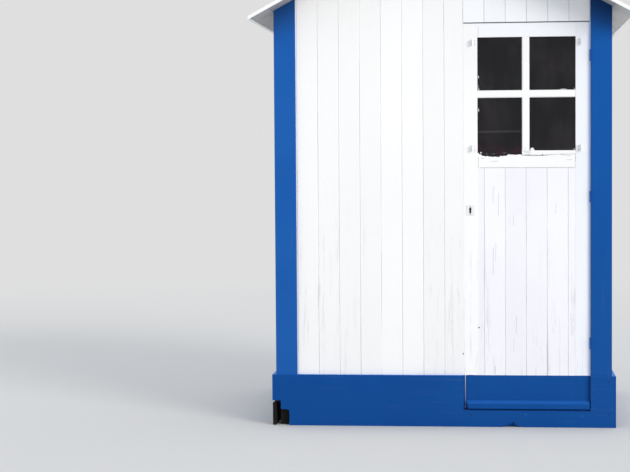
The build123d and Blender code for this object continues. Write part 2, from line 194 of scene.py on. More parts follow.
def start_finish(name):
    """A new material with an empty tree and its coordinates."""
    made = bpy.data.materials.new(name)
    made.use_nodes = True
    made.node_tree.nodes.clear()
    return made, made.node_tree, get(made.node_tree, "ShaderNodeTexCoord", output="Object")


def end_finish(tree, base, roughness, relief=None, depth=0.001, **fixed):
    """Wires the masks to the shader. Values that don't vary are set on the shader's own sockets."""
    inputs = {"Base Color": base, "Roughness": roughness, **fixed}
    if relief is not None:
        inputs["Normal"] = get(tree, "ShaderNodeBump", {"Strength": 1.0, "Distance": depth, "Height": relief})
    shader = get(tree, "ShaderNodeBsdfPrincipled", inputs)
    put(tree, "ShaderNodeOutputMaterial", {"Surface": shader})


print("half grey on a screen is", round(colour(128, 128, 128)[0], 3), "to a shader")


# %% A helper that puts a shape in the scene
def new_piece(name, shape, finish=None):
    """Puts a bmesh into a new object."""
    mesh = bpy.data.meshes.new(name)
    shape.to_mesh(mesh)
    shape.free()
    piece = bpy.data.objects.new(name, mesh)
    scene.collection.objects.link(piece)
    if finish:
        mesh.materials.append(finish)
    return piece


print("shape helper ready")

# %% [markdown]
# ## Light and floor
# The hut stands in soft daylight that comes from the right and a little above: the right corner board
# throws a narrow, blurred shadow on the door. A large sun disc gives that blur. A strong, cool sky,
# brighter overhead, keeps the shadows light and lights what slopes upwards. The floor and the backdrop
# are pale by their own colour, so no more light than that falls on the hut, and white paint stays below
# pure white.

# %% Lamps and sky
TO_SUN = Vector((1.0, -1.0, 0.48)).normalized()
SUN_STRENGTH, SKY_STRENGTH = 1.60, 0.715
OVERHEAD = 0.35             # how much brighter the sky is straight up
BACKDROP = (0.74, 0.74, 0.74, 1.0)

sun_data = bpy.data.lights.new("soft_sun", "SUN")
sun_data.energy = SUN_STRENGTH
sun_data.angle = radians(26)
sun_data.color = (1.0, 0.965, 0.915)
sun = bpy.data.objects.new("soft_sun", sun_data)
sun.matrix_world = TO_SUN.to_track_quat("Z", "Y").to_matrix().to_4x4()
scene.collection.objects.link(sun)

world = bpy.data.worlds.new("plain_sky")
world.use_nodes = True
scene.world = world
sky = world.node_tree
sky.nodes.clear()
path = put(sky, "ShaderNodeLightPath").outputs
seen = sums("MAXIMUM", path["Is Glossy Ray"], path["Is Transmission Ray"])
seen = sums("MAXIMUM", path["Is Camera Ray"], seen)
upward = split(get(sky, "ShaderNodeTexCoord", output="Generated"))["Z"]
strength = sums("MULTIPLY_ADD", upward, SKY_STRENGTH * OVERHEAD, SKY_STRENGTH)
lit = get(sky, "ShaderNodeBackground", {"Color": (0.915, 0.948, 0.985, 1.0), "Strength": strength})
plain = get(sky, "ShaderNodeBackground", {"Color": BACKDROP, "Strength": 1.0})
both = get(sky, "ShaderNodeMixShader", {0: seen, 1: lit, 2: plain})
put(sky, "ShaderNodeOutputWorld", {"Surface": both})
print("light from", [round(v, 2) for v in TO_SUN])

# %% The floor
FLOOR_RADIUS = 45.0
floor_finish, tree, place = start_finish("studio_floor")
away = get(tree, "ShaderNodeVectorMath", {0: place}, "Value", operation="LENGTH")
far = times(fade(away, 2.5, 12.0), get(tree, "ShaderNodeLightPath", output="Is Camera Ray"))
near_floor = get(tree, "ShaderNodeBsdfDiffuse", {"Color": (0.70, 0.70, 0.70, 1.0)})
far_floor = get(tree, "ShaderNodeEmission", {"Color": BACKDROP})
both = get(tree, "ShaderNodeMixShader", {0: far, 1: near_floor, 2: far_floor})
put(tree, "ShaderNodeOutputMaterial", {"Surface": both})

shape = bmesh.new()
bmesh.ops.create_circle(shape, cap_ends=True, segments=96, radius=FLOOR_RADIUS)
studio_floor = new_piece("studio_floor", shape, floor_finish)
print("floor radius", FLOOR_RADIUS)

# %% [markdown]
# ## Sizes
# A few sizes drive every piece. Those of the window, the glass groove and the ridge are read from the
# frame, and the rest are the widths and heights that a joiner would mark on a rod.

# %% Sizes shared by the pieces, in metres
BOARD, CLAD = 0.105, 0.019
HALF, FRONT, BACK = 0.840, -0.6825, 0.6825
INNER_X, INNER_Y = HALF - CLAD, BACK - CLAD
PLINTH_T, PLINTH_TOP = 0.020, 0.258
DOOR_L, DOOR_R, DOOR_HEAD = 0.105, 0.735, 2.019
LEAF_L, LEAF_R = 0.110, 0.730
(WINDOW_L, _, MID_RAIL_Z), (WINDOW_R, _, WINDOW_FOOT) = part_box("door_mid_rail")
WINDOW_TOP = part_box("door_top_rail")[0].z
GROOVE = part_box("window_panes")[0].z
SLOPE = radians(28.2)
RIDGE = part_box("ridge_beam")[1].z
print("ridge of the soffit", round(RIDGE, 4), "window", round(WINDOW_FOOT, 4), "to", round(WINDOW_TOP, 4))

# %% [markdown]
# ## Wood grain as a shared group
# Grain runs along a board, so its noise is stretched: many cells across the board and few along it. The
# group takes the stretch as an input, since rails lie level and boards stand upright. It gives a mask of
# single streaks and a height for the bump.

# %% Build the grain group
# Cells of noise in a metre along each axis, for grain that runs upright, across the front, and inwards.
UPRIGHT, LEVEL, DEEP = (150.0, 150.0, 7.0), (7.0, 150.0, 150.0), (150.0, 7.0, 150.0)
grain_group, g_in, g_out = open_group(
    "grain", "ShaderNodeTree",
    [("Vector", VECTOR, None), ("Stretch", VECTOR, UPRIGHT)],
    [("Streaks", FLOAT), ("Height", FLOAT)])
along = stretched(g_in["Vector"], g_in["Stretch"])
broad = noise(along, 0.35, 3.0)
fine = noise(along, 1.6, 5.0, 0.65)
link(plus(times(broad, 0.55), times(fine, 0.45)), g_out["Streaks"])
link(plus(times(broad, 0.4), fine), g_out["Height"])
print("group", grain_group.name)

# %% [markdown]
# ## Rot and painted shade as a shared group
# The hut's lower left corner has rotted away, and the timber behind the hole is made nearly black: rotten
# wood, darkened further as painted shade inside the hole. The group gives a mask round a point inside that
# corner. Only what lies behind the outer boards is taken, so the paint outside keeps its colour up to the
# edge of the hole.

# %% Build the rot group
ROT_MIDDLE, ROT_REACH, FACE_SOFT = (-HALF, -0.640, 0.030), 0.170, 0.0004
rot_group, g_in, g_out = open_group(
    "rot", "ShaderNodeTree",
    [("Vector", VECTOR, None), ("Middle", VECTOR, ROT_MIDDLE), ("Reach", FLOAT, ROT_REACH)],
    [("Rot", FLOAT)])
place = g_in["Vector"]
off = get(rot_group, "ShaderNodeVectorMath", {0: place, 1: g_in["Middle"]}, "Value", operation="DISTANCE")
off = sums("MULTIPLY_ADD", noise(place, 30.0), 0.05, off)
near = fade(off, times(g_in["Reach"], 1.25), g_in["Reach"])
inside = split(place)
inside = times(fade(inside["X"], -HALF - FACE_SOFT, -HALF), fade(inside["Y"], FRONT - FACE_SOFT, FRONT))
link(times(near, inside), g_out["Rot"])
# Near black, for rotten wood in painted shade.
ROT_AND_SHADE = (0.012, 0.010, 0.009, 1.0)
print("group", rot_group.name)

# %% [markdown]
# ## Painted wood as a shared group
# Outdoor paint is never one colour. It fades in patches, each board takes it a little differently, grey
# grain wears through in streaks, arrises chip back to the wood, and rain splashes dirt on the foot. Each
# of these is a mask, and the masks stack in that order. The group also darkens paint close under the roof
# and towards the foot as painted shade, and adds a painted highlight on upward faces. One group does it
# for every painted piece, and each finish sets its own amounts.

# %% Build the painted wood group
BLACK = (0.0, 0.0, 0.0, 1.0)
paint_group, g_in, g_out = open_group(
    "painted_wood", "ShaderNodeTree",
    [("Vector", VECTOR, None), ("Stretch", VECTOR, UPRIGHT), ("Paint", COLOUR, None),
     ("Faded", COLOUR, None), ("Wood", COLOUR, None), ("Worn Through", FLOAT, 0.3),
     ("Worn Below", FLOAT, 1.3), ("Chips", FLOAT, 0.1), ("Dirt", FLOAT, 0.3), ("Dirt Height", FLOAT, 0.3),
     ("Tone", FLOAT, 0.0),
     ("Arris", FLOAT, 0.0), ("Sheltered", FLOAT, 0.0), ("Foot Shade", FLOAT, 0.0), ("Bleach", COLOUR, BLACK)],
    [("Colour", COLOUR), ("Roughness", FLOAT), ("Height", FLOAT)])
place = g_in["Vector"]
grain = put(paint_group, "ShaderNodeGroup", {}, node_tree=grain_group)
link(place, grain.inputs["Vector"])
link(g_in["Stretch"], grain.inputs["Stretch"])
across, _, height = split(place)

patches = fade(noise(place, 1.7, 4.0), 0.40, 0.66)
base = mix(patches, g_in["Paint"], g_in["Faded"])
base = mix(times(g_in["Tone"], 0.045), base, BLACK)

# Painted shade close under the roof and, a little, towards the foot; a painted highlight on upward faces.
under_roof = less(sums("MULTIPLY_ADD", sums("ABSOLUTE", across), -tan(SLOPE), RIDGE), height)
roof_shade = times(fade(under_roof, 0.20, 0.0), g_in["Sheltered"])
base = mix(roof_shade, base, (0.0, 0.008, 0.03, 1.0))
base = mix(times(fade(height, 2.0, 0.0), g_in["Foot Shade"]), base, BLACK)
facing_up = split(get(paint_group, "ShaderNodeNewGeometry", output="Normal"))["Z"]
facing_up = sums("POWER", sums("MAXIMUM", facing_up, 0.0), 6.0)
base = mix(facing_up, base, g_in["Bleach"], "ADD")

# Grain shows in some areas only, and more of it lower down, where rain and sun work on the paint.
area = fade(noise(stretched(place, (5.0, 5.0, 1.6)), 1.0, 2.0), 0.42, 0.62)
lower = fade(height, g_in["Worn Below"], times(g_in["Worn Below"], 0.45), 0.12, 1.0)
streaks = times(times(fade(grain.outputs["Streaks"], 0.53, 0.64), area), lower)
streaks = times(streaks, g_in["Worn Through"])
base = mix(streaks, base, g_in["Wood"])

# Paint chips off in small spots, most of them at an arris, and the wood below is grey or brown.
chip_noise = noise(stretched(place, (1.0, 1.0, 0.55)), 70.0, 6.0, 0.62)
chips = plus(plus(chip_noise, times(g_in["Arris"], 0.07)), times(g_in["Chips"], 0.2))
chips = fade(chips, 0.755, 0.775)
base = mix(chips, base, mix(noise(place, 160.0, 2.0), g_in["Wood"], (0.16, 0.12, 0.09, 1.0)))

# Rain splashes earth on the foot, to an uneven height.
splash = noise(stretched(place, (1.0, 1.0, 0.6)), 9.0, 5.0, 0.65)
splash = times(splash, times(g_in["Dirt Height"], 0.7))
dirt = times(fade(less(height, splash), times(g_in["Dirt Height"], 0.5), 0.0), g_in["Dirt"])
base = mix(dirt, base, (0.23, 0.19, 0.145, 1.0))
rot = put(paint_group, "ShaderNodeGroup", {}, node_tree=rot_group)
link(place, rot.inputs["Vector"])
link(mix(rot.outputs["Rot"], base, ROT_AND_SHADE), g_out["Colour"])

rough = plus(times(patches, 0.10), times(streaks, 0.25))
rough = plus(plus(rough, times(chips, 0.35)), times(dirt, 0.3))
link(plus(rough, 0.40, clamp=True), g_out["Roughness"])
worn = plus(times(streaks, 0.35), times(chips, 0.8))
link(less(times(grain.outputs["Height"], 0.35), worn), g_out["Height"])
print("group", paint_group.name, "with", len(paint_group.nodes), "nodes")

# %% [markdown]
# ## The paints
# The white is a cool, nearly pure white. Its copies hold painted light and shade: a lighter white on the
# walls is painted light, and bluer whites on and over the door are painted bluish shade. The blue is a
# strong mid blue; a darker copy on the right post and a deeper one on the plinth are painted shade. A
# finish is one placing of the painted wood group, wired to the shader.
# Upright pieces and level pieces differ only in the direction of the grain, so one function makes all of
# them from a pair of colours, a grain direction, and amounts of chips and dirt.

# %% Colours, fresh and faded
GREY_GRAIN, BARE = colour(178, 178, 184), colour(96, 112, 132)
# Blue added on upward faces as a painted highlight, for the light from above.
TOP_LIGHT_BLUE = (0.030, 0.110, 0.360, 1.0)
SATIN, FLAT = 0.21, 0.12    # how strongly a paint reflects


def tinted(fresh, faded, wood=GREY_GRAIN, top_light=BLACK):
    """A paint's colours, the wood that shows where it has gone, and a painted highlight on upward faces."""
    return {"Paint": colour(*fresh), "Faded": colour(*faded), "Wood": wood, "Bleach": top_light}


# Painted light and shade: the walls' white is a lighter copy of the white, the cool white a darker, bluer
# copy, and the right post's and the plinth's blues are darker copies of the blue.
white = tinted((250, 250, 250), (247, 247, 248))
lit_wall_white = tinted((253, 253, 253), (251, 251, 252))
cool_white = tinted((242, 245, 251), (240, 243, 250))
blue = tinted((8, 88, 172), (12, 92, 175), BARE, TOP_LIGHT_BLUE)
shaded_right_blue = tinted((5, 84, 165), (8, 87, 167), BARE, TOP_LIGHT_BLUE)
deep = tinted((3, 70, 142), (5, 74, 146), BARE, TOP_LIGHT_BLUE)
print("white", [round(v, 2) for v in white["Paint"]], "blue", [round(v, 2) for v in blue["Paint"]])


# %% Helpers that make a painted finish
def coat_of_paint(tree, place, colours, stretch, chips, dirt, **more):
    """Places the painted wood group with its own amounts, and gives its outputs."""
    tone = get(tree, "ShaderNodeAttribute", output="Fac", attribute_name="board_tone")
    arris = get(tree, "ShaderNodeAttribute", output="Fac", attribute_name="arris")
    named = {key.replace("_", " "): value for key, value in more.items()}
    return put(tree, "ShaderNodeGroup", {"Vector": place, "Tone": tone, "Arris": arris, **colours,
                                         "Stretch": stretch, "Chips": chips, "Dirt": dirt, **named},
               node_tree=paint_group).outputs


def painted(name, colours, stretch, chips, dirt, sheen=SATIN, **more):
    """A painted finish."""
    made, tree, place = start_finish(name)
    coat = coat_of_paint(tree, place, colours, stretch, chips, dirt, **more)
    end_finish(tree, coat["Colour"], coat["Roughness"], coat["Height"], 0.0009,
               **{"Specular IOR Level": sheen})
    return made


print("a coat of paint has", len(paint_group.interface.items_tree), "inputs and outputs")


# %% Make the painted finishes
# Painted bluish shade: bluer copies of the white for the door's boards, the wall over the door and the top
# rail.
door_white = tinted((250, 250, 255), (247, 247, 253))
over_door_white = tinted((252, 254, 255), (249, 251, 255))
rail_white = tinted((248, 250, 254), (245, 247, 252))
worn_little = {"Worn_Through": 0.10, "Dirt_Height": 0.12}

white_boards = painted("white_boards", lit_wall_white, UPRIGHT, 0.02, 0.2, Worn_Through=0.28, Foot_Shade=0.06)
white_door = painted("white_door_boards", door_white, UPRIGHT, 0.05, 0.1, Worn_Through=0.58, Foot_Shade=0.045)
white_upright = painted("white_upright", white, UPRIGHT, 0.06, 0.0)
cool_boards = painted("cool_white_boards", over_door_white, UPRIGHT, 0.02, 0.2)
cool_level = painted("cool_white_level", rail_white, LEVEL, 0.06, 0.0)
white_level = painted("white_level", white, LEVEL, 0.06, 0.0)
white_trim = painted("white_trim", white, LEVEL, 0.08, 0.0)
blue_post = painted("blue_post", blue, UPRIGHT, 0.02, 0.0, Sheltered=0.55, Foot_Shade=0.1, **worn_little)
blue_post_right = painted("blue_post_right", shaded_right_blue, UPRIGHT, 0.02, 0.0, 0.14, Sheltered=0.72,
                          Foot_Shade=0.22, **worn_little)
blue_plinth = painted("blue_plinth", deep, LEVEL, 0.02, 0.0, FLAT, **worn_little)
blue_plinth_side = painted("blue_plinth_side", deep, DEEP, 0.03, 0.03, FLAT, **worn_little)
blue_sill = painted("blue_sill", deep, LEVEL, 0.5, 0.0, FLAT, **worn_little)
print("painted finishes", sum(m.name.startswith(("white", "cool", "blue")) for m in bpy.data.materials))

# %% [markdown]
# ## A stile in two colours
# The door's lower edge is painted to match the plinth, but the white went on first and last at the edge by
# the lock, so a narrow white strip stays there, which wears away towards the foot. Two placings of the
# group, one for each paint, are mixed by a mask on height and on the distance from that edge. The mask
# wavers a little, as a hand-cut line does. Beside the blue corner board the white takes a painted shadow
# with a painted blue reflection of the board in it, which fades away over two centimetres.

# %% Make the two-colour stile finish
PAINT_LINE = (PLINTH_TOP + 0.0022, PLINTH_TOP + 0.0012)      # white above the first, blue below the second
STRIP_L, STRIP_R, STRIP_SOFT = LEAF_L + 0.0023, LEAF_L + 0.0057, 0.0004     # the white strip, and its edge
POST_SHADE_FROM = LEAF_R - 0.018                                 # where the painted shadow and blue reflection begin


def two_colour_stile(name, upper_white):
    """White above the plinth line, blue below, with a white strip at the lock edge."""
    made, tree, place = start_finish(name)
    upper = coat_of_paint(tree, place, upper_white, UPRIGHT, 0.06, 0.0)
    lower = coat_of_paint(tree, place, deep, LEVEL, 0.02, 0.0, **worn_little)
    axis = split(place)
    below = fade(plus(axis["Z"], times(noise(place, 45.0), 0.003)), *PAINT_LINE)
    strip = times(fade(axis["X"], STRIP_L, STRIP_L + STRIP_SOFT),
                  fade(axis["X"], STRIP_R, STRIP_R - STRIP_SOFT))
    strip = times(strip, fade(axis["Z"], 0.10, 0.26, 0.15, 0.62))
    mask = times(below, less(1.0, strip))
    rough = plus(times(less(1.0, mask), upper["Roughness"]), times(mask, lower["Roughness"]))
    # Painted shadow and blue reflection beside the corner board.
    bluish = times(fade(axis["X"], POST_SHADE_FROM, LEAF_R), 0.45)
    base = mix(mask, mix(bluish, upper["Colour"], colour(206, 218, 250)), lower["Colour"])
    end_finish(tree, base, rough, upper["Height"], 0.0009, **{"Specular IOR Level": FLAT})
    return made


lock_stile_paint = two_colour_stile("lock_stile_paint", white)
hinge_stile_paint = two_colour_stile("hinge_stile_paint", cool_white)
print("made", lock_stile_paint.name, hinge_stile_paint.name)

# %% [markdown]
# ## Bare wood inside
# The framing, the floor and the back of the boards are softwood that has only darkened with age. Its
# pattern is growth rings cut lengthwise: bands across the board, bent by slow noise, with a few knots.
# Rings made from distorted waves look like that from every side, and need no picture.

# %% Make the bare wood finishes
def bare_wood(name, stretch, pale, dark):
    """Sawn softwood with growth bands, pores and knots."""
    made, tree, place = start_finish(name)
    swirl = get(tree, "ShaderNodeTexNoise", {"Vector": stretched(place, tuple(0.05 * v for v in stretch)),
                                             "Scale": 1.3, "Detail": 2.0}, 1)
    bend = get(tree, "ShaderNodeVectorMath", {0: stretched(place, tuple(0.28 * v for v in stretch)),
                                              1: swirl}, operation="ADD")
    rings = sums("PINGPONG", times(noise(bend, 1.0, 4.0, 0.5), 7.0), 1.0)
    wide = stretched(place, tuple(min(v, 12.0) / 2.2 for v in stretch))
    knots = get(tree, "ShaderNodeTexVoronoi", {"Vector": wide, "Scale": 1.0}, "Distance")
    grain = put(tree, "ShaderNodeGroup", {}, node_tree=grain_group)
    link(place, grain.inputs["Vector"])
    grain.inputs["Stretch"].default_value = stretch
    base = mix(fade(rings, 0.2, 0.95), pale, dark)
    pores = times(fade(grain.outputs["Streaks"], 0.48, 0.66), 0.35)
    base = mix(pores, base, (0.17, 0.11, 0.065, 1.0))
    base = mix(times(fade(knots, 0.10, 0.045), 0.8), base, (0.13, 0.07, 0.035, 1.0))
    # Near the broken corner the wood turns near black: rot, with painted shade of the hole.
    rot = get(tree, "ShaderNodeGroup", {}, "Rot", node_tree=rot_group)
    link(place, rot.node.inputs["Vector"])
    end_finish(tree, mix(rot, base, ROT_AND_SHADE), less(0.86, times(rings, 0.12)),
               plus(grain.outputs["Height"], times(rings, 0.3)), 0.0007, **{"Specular IOR Level": 0.25})
    return made


PALE_PINE, DARK_PINE = colour(196, 164, 122), colour(160, 122, 82)
wood_upright = bare_wood("pine_upright", UPRIGHT, PALE_PINE, DARK_PINE)
wood_across = bare_wood("pine_across", LEVEL, PALE_PINE, DARK_PINE)
wood_deep = bare_wood("pine_deep", DEEP, PALE_PINE, DARK_PINE)
floor_wood = bare_wood("floor_pine", DEEP, colour(168, 142, 108), colour(128, 102, 74))
# Near-black wood for the broken corner: rot and painted shade.
rotten_wood = bare_wood("rotten_wood", UPRIGHT, colour(14, 12, 10), colour(7, 6, 6))
weathered_wood = bare_wood("weathered_wood", LEVEL, colour(150, 148, 146), colour(112, 108, 104))
print("bare wood finishes", 6)

# %% [markdown]
# ## Soffit, felt, metal and glass
# The roof boards' underside is grey as painted shade, for white boards in the shadow of the roof. The felt is
# a dark green-grey sheet with crushed mineral on it, which makes fine bright specks and fades where rain
# runs. The clips and the key plate are steel under white paint with a little rust, and the hinges are painted
# blue like the corner board beside them. The lock is black iron. The panes are dusty glass, tinted nearly
# black as painted shade of the dark room behind them, and the left panes carry a painted reflection: a light
# band and a purple tint low down.

# %% Make the grey soffit finish
# Painted shade: the soffit is grey for white boards in the roof's shadow.
soffit_paint = painted("soffit_paint", tinted((176, 176, 177), (162, 162, 163), colour(120, 112, 102)), DEEP,
                       0.03, 0.0, Worn_Through=0.5, Worn_Below=9.0)
print("made", soffit_paint.name)

# %% Make the felt finish
roof_felt, tree, place = start_finish("mineral_felt")
granule = put(tree, "ShaderNodeTexVoronoi", {"Vector": place, "Scale": 420.0}).outputs
tint = get(tree, "ShaderNodeSeparateColor", {0: granule["Color"]})
patch = fade(noise(stretched(place, (3.0, 1.2, 3.0)), 1.0, 5.0), 0.38, 0.66)
base = mix(tint, colour(46, 52, 50), colour(92, 99, 94))
base = mix(times(fade(tint, 0.86, 0.9), 0.8), base, colour(150, 154, 148))
base = mix(times(patch, 0.45), base, colour(112, 116, 108))
moss = fade(noise(place, 14.0, 6.0, 0.7), 0.66, 0.72)
base = mix(times(moss, 0.5), base, colour(74, 82, 48))
end_finish(tree, base, plus(0.82, times(tint, 0.12)), less(1.0, granule["Distance"]), 0.0012,
           **{"Specular IOR Level": 0.3})
print("made", roof_felt.name)

# %% Make the metal finishes
def metal(name, tint, rust_amount, roughness, metallic):
    """Painted or bare metal with rust where the coat has failed."""
    made, tree, place = start_finish(name)
    spots = fade(plus(noise(place, 130.0, 5.0, 0.65), rust_amount), 0.66, 0.70)
    cloud = noise(place, 40.0, 4.0)
    light = colour(*tint)
    base = mix(cloud, light, tuple(0.86 * v for v in light[:3]) + (1.0,))
    base = mix(spots, base, mix(cloud, colour(120, 66, 36), colour(74, 44, 30)))
    rough = plus(roughness, times(spots, 0.35), clamp=True)
    end_finish(tree, base, rough, plus(cloud, spots), 0.0003, Metallic=times(less(1.0, spots), metallic))
    return made


clip_steel = metal("painted_clip_steel", (252, 252, 254), 0.0, 0.5, 0.0)
hinge_steel = metal("painted_hinge_steel", (6, 82, 160), -0.2, 0.6, 0.0)
key_steel = metal("key_plate_steel", (243, 243, 245), 0.02, 0.42, 0.0)
screw_steel = metal("dull_screw_steel", (96, 94, 92), 0.10, 0.45, 0.8)
dark_nail = metal("dark_nail", (52, 50, 50), 0.12, 0.6, 0.3)
clout_zinc = metal("zinc_nail", (168, 170, 172), 0.02, 0.38, 0.9)
lock_iron = metal("black_lock_iron", (30, 30, 32), 0.02, 0.42, 0.6)
# A dark screw head, darkened as painted shade of its countersink.
dark_screw_shade = metal("screw_under_paint", (3, 24, 58), -0.2, 0.7, 0.0)
screw_pale = metal("screw_in_fresh_paint", (16, 92, 170), -0.2, 0.6, 0.0)
streak_paint = metal("thin_grey_streak", (198, 198, 214), -0.2, 0.7, 0.0)
keyhole_black = metal("keyhole_black", (8, 8, 10), -0.2, 0.8, 0.0)
grey_paint = metal("dull_grey_paint", (150, 149, 151), -0.2, 0.7, 0.0)
print("metal finishes", 12)

# %% Make the glass finish
REFLECTION_Z, LOWER_PANES, LEFT_PANES = 1.479, 1.44, (0.40, 0.39)
pane_glass, tree, place = start_finish("dusty_glass")
axis = split(place)
on_left = fade(axis["X"], *LEFT_PANES)
cloud = fade(noise(stretched(place, (1.0, 1.0, 0.5)), 7.0, 5.0, 0.6), 0.42, 0.75)
runs = fade(noise(stretched(place, (60.0, 60.0, 2.0)), 1.0, 3.0), 0.60, 0.75)
corners = fade(plus(axis["Z"], times(noise(place, 20.0), 0.05)), LOWER_PANES, LOWER_PANES - 0.06)
# Painted reflection: a light band across the left panes.
reflected_band = less(plus(axis["Z"], times(noise(place, 5.0), 0.006)), REFLECTION_Z)
reflected_band = times(fade(sums("ABSOLUTE", reflected_band), 0.0075, 0.002), on_left)
dust = plus(times(cloud, 0.22), times(runs, 0.10))
dust = plus(dust, plus(times(corners, 0.12), times(reflected_band, 0.42)), clamp=True)
# Painted shade: the glass is tinted nearly black for the dark room behind it, and dust lightens it.
base = mix(dust, colour(50, 46, 57), colour(170, 160, 164))
# Painted reflection: a purple tint low on the left panes.
reflected_tint = times(on_left, fade(axis["Z"], LOWER_PANES - 0.01, LOWER_PANES - 0.08))
reflected_tint = times(reflected_tint, fade(noise(place, 16.0), 0.40, 0.56))
base = mix(times(reflected_tint, 0.8), base, colour(116, 52, 92))
end_finish(tree, base, plus(0.02, times(dust, 0.2)), None,
           **{"Transmission Weight": 0.86, "IOR": 1.35, "Specular IOR Level": 0.35})
print("finishes in all", len(bpy.data.materials))


# %% [markdown]
# ## Turning a node tree into a plain mesh
# A Geometry Nodes tree is a recipe that stays live on its object. Here each result is read from the
# evaluated object as a plain mesh, and the modifier is dropped, so that what is kept is only the mesh. The
# inputs are set by each socket's identifier before anything is evaluated.

# %% Helpers that keep a tree's result
def settle(piece):
    """Puts the result of a piece's modifiers in place of its mesh, and drops them."""
    graph = bpy.context.evaluated_depsgraph_get()
    result = bpy.data.meshes.new_from_object(piece.evaluated_get(graph), preserve_all_data_layers=True,
                                             depsgraph=graph)
    piece.modifiers.clear()
    piece.data = result
    result.name = piece.name
    return result


def grow(tree, name, settings, start=None):
    """Runs a tree once and gives back its result as a plain mesh object."""
    carrier = bpy.data.objects.new(name, start or bpy.data.meshes.new(name))
    scene.collection.objects.link(carrier)
    modifier = carrier.modifiers.new("recipe", "NODES")
    modifier.node_group = tree
    sockets = {item.name: item.identifier for item in tree.interface.items_tree
               if item.item_type == "SOCKET" and item.in_out == "INPUT"}
    for label, value in settings.items():
        modifier[sockets[label]] = value
    result = settle(carrier)
    if result.materials and result.materials[0] is None:
        result.materials.pop(index=0)
    return carrier


def keep(piece, body, slot, *replaced):
    """Rides a finished piece on its body and hides the nodes that it stands for; its slot is not used."""
    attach(piece, body)
    if replaced:
        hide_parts(*replaced)
    return piece


def extent(piece):
    """The box of a piece's mesh, for the notes that the cells print."""
    return [[round(f(v.co[i] for v in piece.data.vertices), 4) for i in range(3)] for f in (min, max)]


print("mesh helpers ready")


# %% [markdown]
# ## Boards with V joints
# The walls are matchboard: each board has a bevel along both front arrises, and a tongue that closes the
# gap to its neighbour. One board could be modelled and copied by hand, but the boards follow a rule, so a
# tree makes them: a bevelled outline is swept up a line, set out side by side, and cut to the slope of
# the roof. Old boards also wander a little, which varies the width of the dark line between them.

# %% Build the boarding tree
boarding, g_in, g_out = open_group(
    "boarding", "GeometryNodeTree",
    [("Board Width", FLOAT, BOARD), ("Boards", INT, 7), ("Start", FLOAT, 0.0), ("Left", FLOAT, -1.0),
     ("Right", FLOAT, 1.0), ("Foot", FLOAT, 0.0), ("Top", FLOAT, 2.0), ("Fall Across", FLOAT, 0.0),
     ("Fall Through", FLOAT, 0.0), ("Thickness", FLOAT, CLAD), ("Bevel", FLOAT, 0.0022),
     ("Gap", FLOAT, 0.0008), ("Wander", FLOAT, 0.0006), ("Rows", INT, 18), ("Seed", INT, 1),
     ("Finish", MATERIAL, None), ("Back Finish", MATERIAL, None)],
    [("Boards", SHAPE)])
TONGUE, BACK_BEVEL = 0.010, 0.0006
make = partial(get, boarding)
width, thickness = g_in["Board Width"], g_in["Thickness"]
half_width = times(width, 0.5)
outline = make("GeometryNodeCurvePrimitiveQuadrilateral", {0: less(width, g_in["Gap"]), 1: thickness})
at_face = compare(split(make("GeometryNodeInputPosition"))["Y"], "LESS_THAN", 0.0)
bevel = make("GeometryNodeSwitch", {0: at_face, 1: BACK_BEVEL, 2: g_in["Bevel"]}, input_type="FLOAT")
outline = make("GeometryNodeFilletCurve", {"Curve": outline, "Count": 1, "Radius": bevel,
                                           "Limit Radius": True}, mode="POLY")
tongue = make("GeometryNodeCurvePrimitiveQuadrilateral", {0: TONGUE, 1: times(thickness, 0.33)})
tongue = make("GeometryNodeTransform", {"Geometry": tongue, "Translation": joined(times(half_width, -1.0))})
profile = put(boarding, "GeometryNodeJoinGeometry")
link(outline, profile.inputs[0])
link(tongue, profile.inputs[0])
print("a board's outline takes", len(boarding.nodes), "nodes")

# %% Sweep the outline up a line and set the boards out
upright = make("GeometryNodeCurvePrimitiveLine", {"Start": (0.0, 0.0, 0.0), "End": (0.0, 0.0, 1.0)})
upright = make("GeometryNodeResampleCurve", {"Curve": upright, "Count": plus(g_in["Rows"], 1.0)})
board = make("GeometryNodeCurveToMesh", {"Curve": upright, "Profile Curve": profile.outputs[0],
                                         "Fill Caps": True})
first = joined(plus(g_in["Start"], half_width))
places = make("GeometryNodeMeshLine", {"Count": g_in["Boards"], "Start Location": first,
                                       "Offset": joined(width)}, mode="OFFSET")
boards = make("GeometryNodeInstanceOnPoints", {"Points": places, "Instance": board})
tone = make("FunctionNodeRandomValue", {"Seed": g_in["Seed"]}, 1, data_type="FLOAT")
boards = make("GeometryNodeStoreNamedAttribute", {"Geometry": boards, "Name": "board_tone", "Value": tone},
              data_type="FLOAT", domain="INSTANCE")
boards = make("GeometryNodeRealizeInstances", {"Geometry": boards})
print("with the boards set out", len(boarding.nodes), "nodes")

# %% Drop tongues that lie beyond the ends, then shape each board
JOINT_REACH = TONGUE / 2 + 0.0002
x, y, z = split(make("GeometryNodeInputPosition"))
is_tongue = compare(sums("ABSOLUTE", y), "LESS_THAN", times(thickness, 0.25))
beyond = make("FunctionNodeBooleanMath", {0: compare(x, "LESS_THAN", less(g_in["Left"], JOINT_REACH)),
                                          1: compare(x, "GREATER_THAN", plus(g_in["Right"], JOINT_REACH))},
              operation="OR")
dropped = make("FunctionNodeBooleanMath", {0: is_tongue, 1: beyond}, operation="AND")
boards = make("GeometryNodeDeleteGeometry", {"Geometry": boards, "Selection": dropped}, domain="POINT")

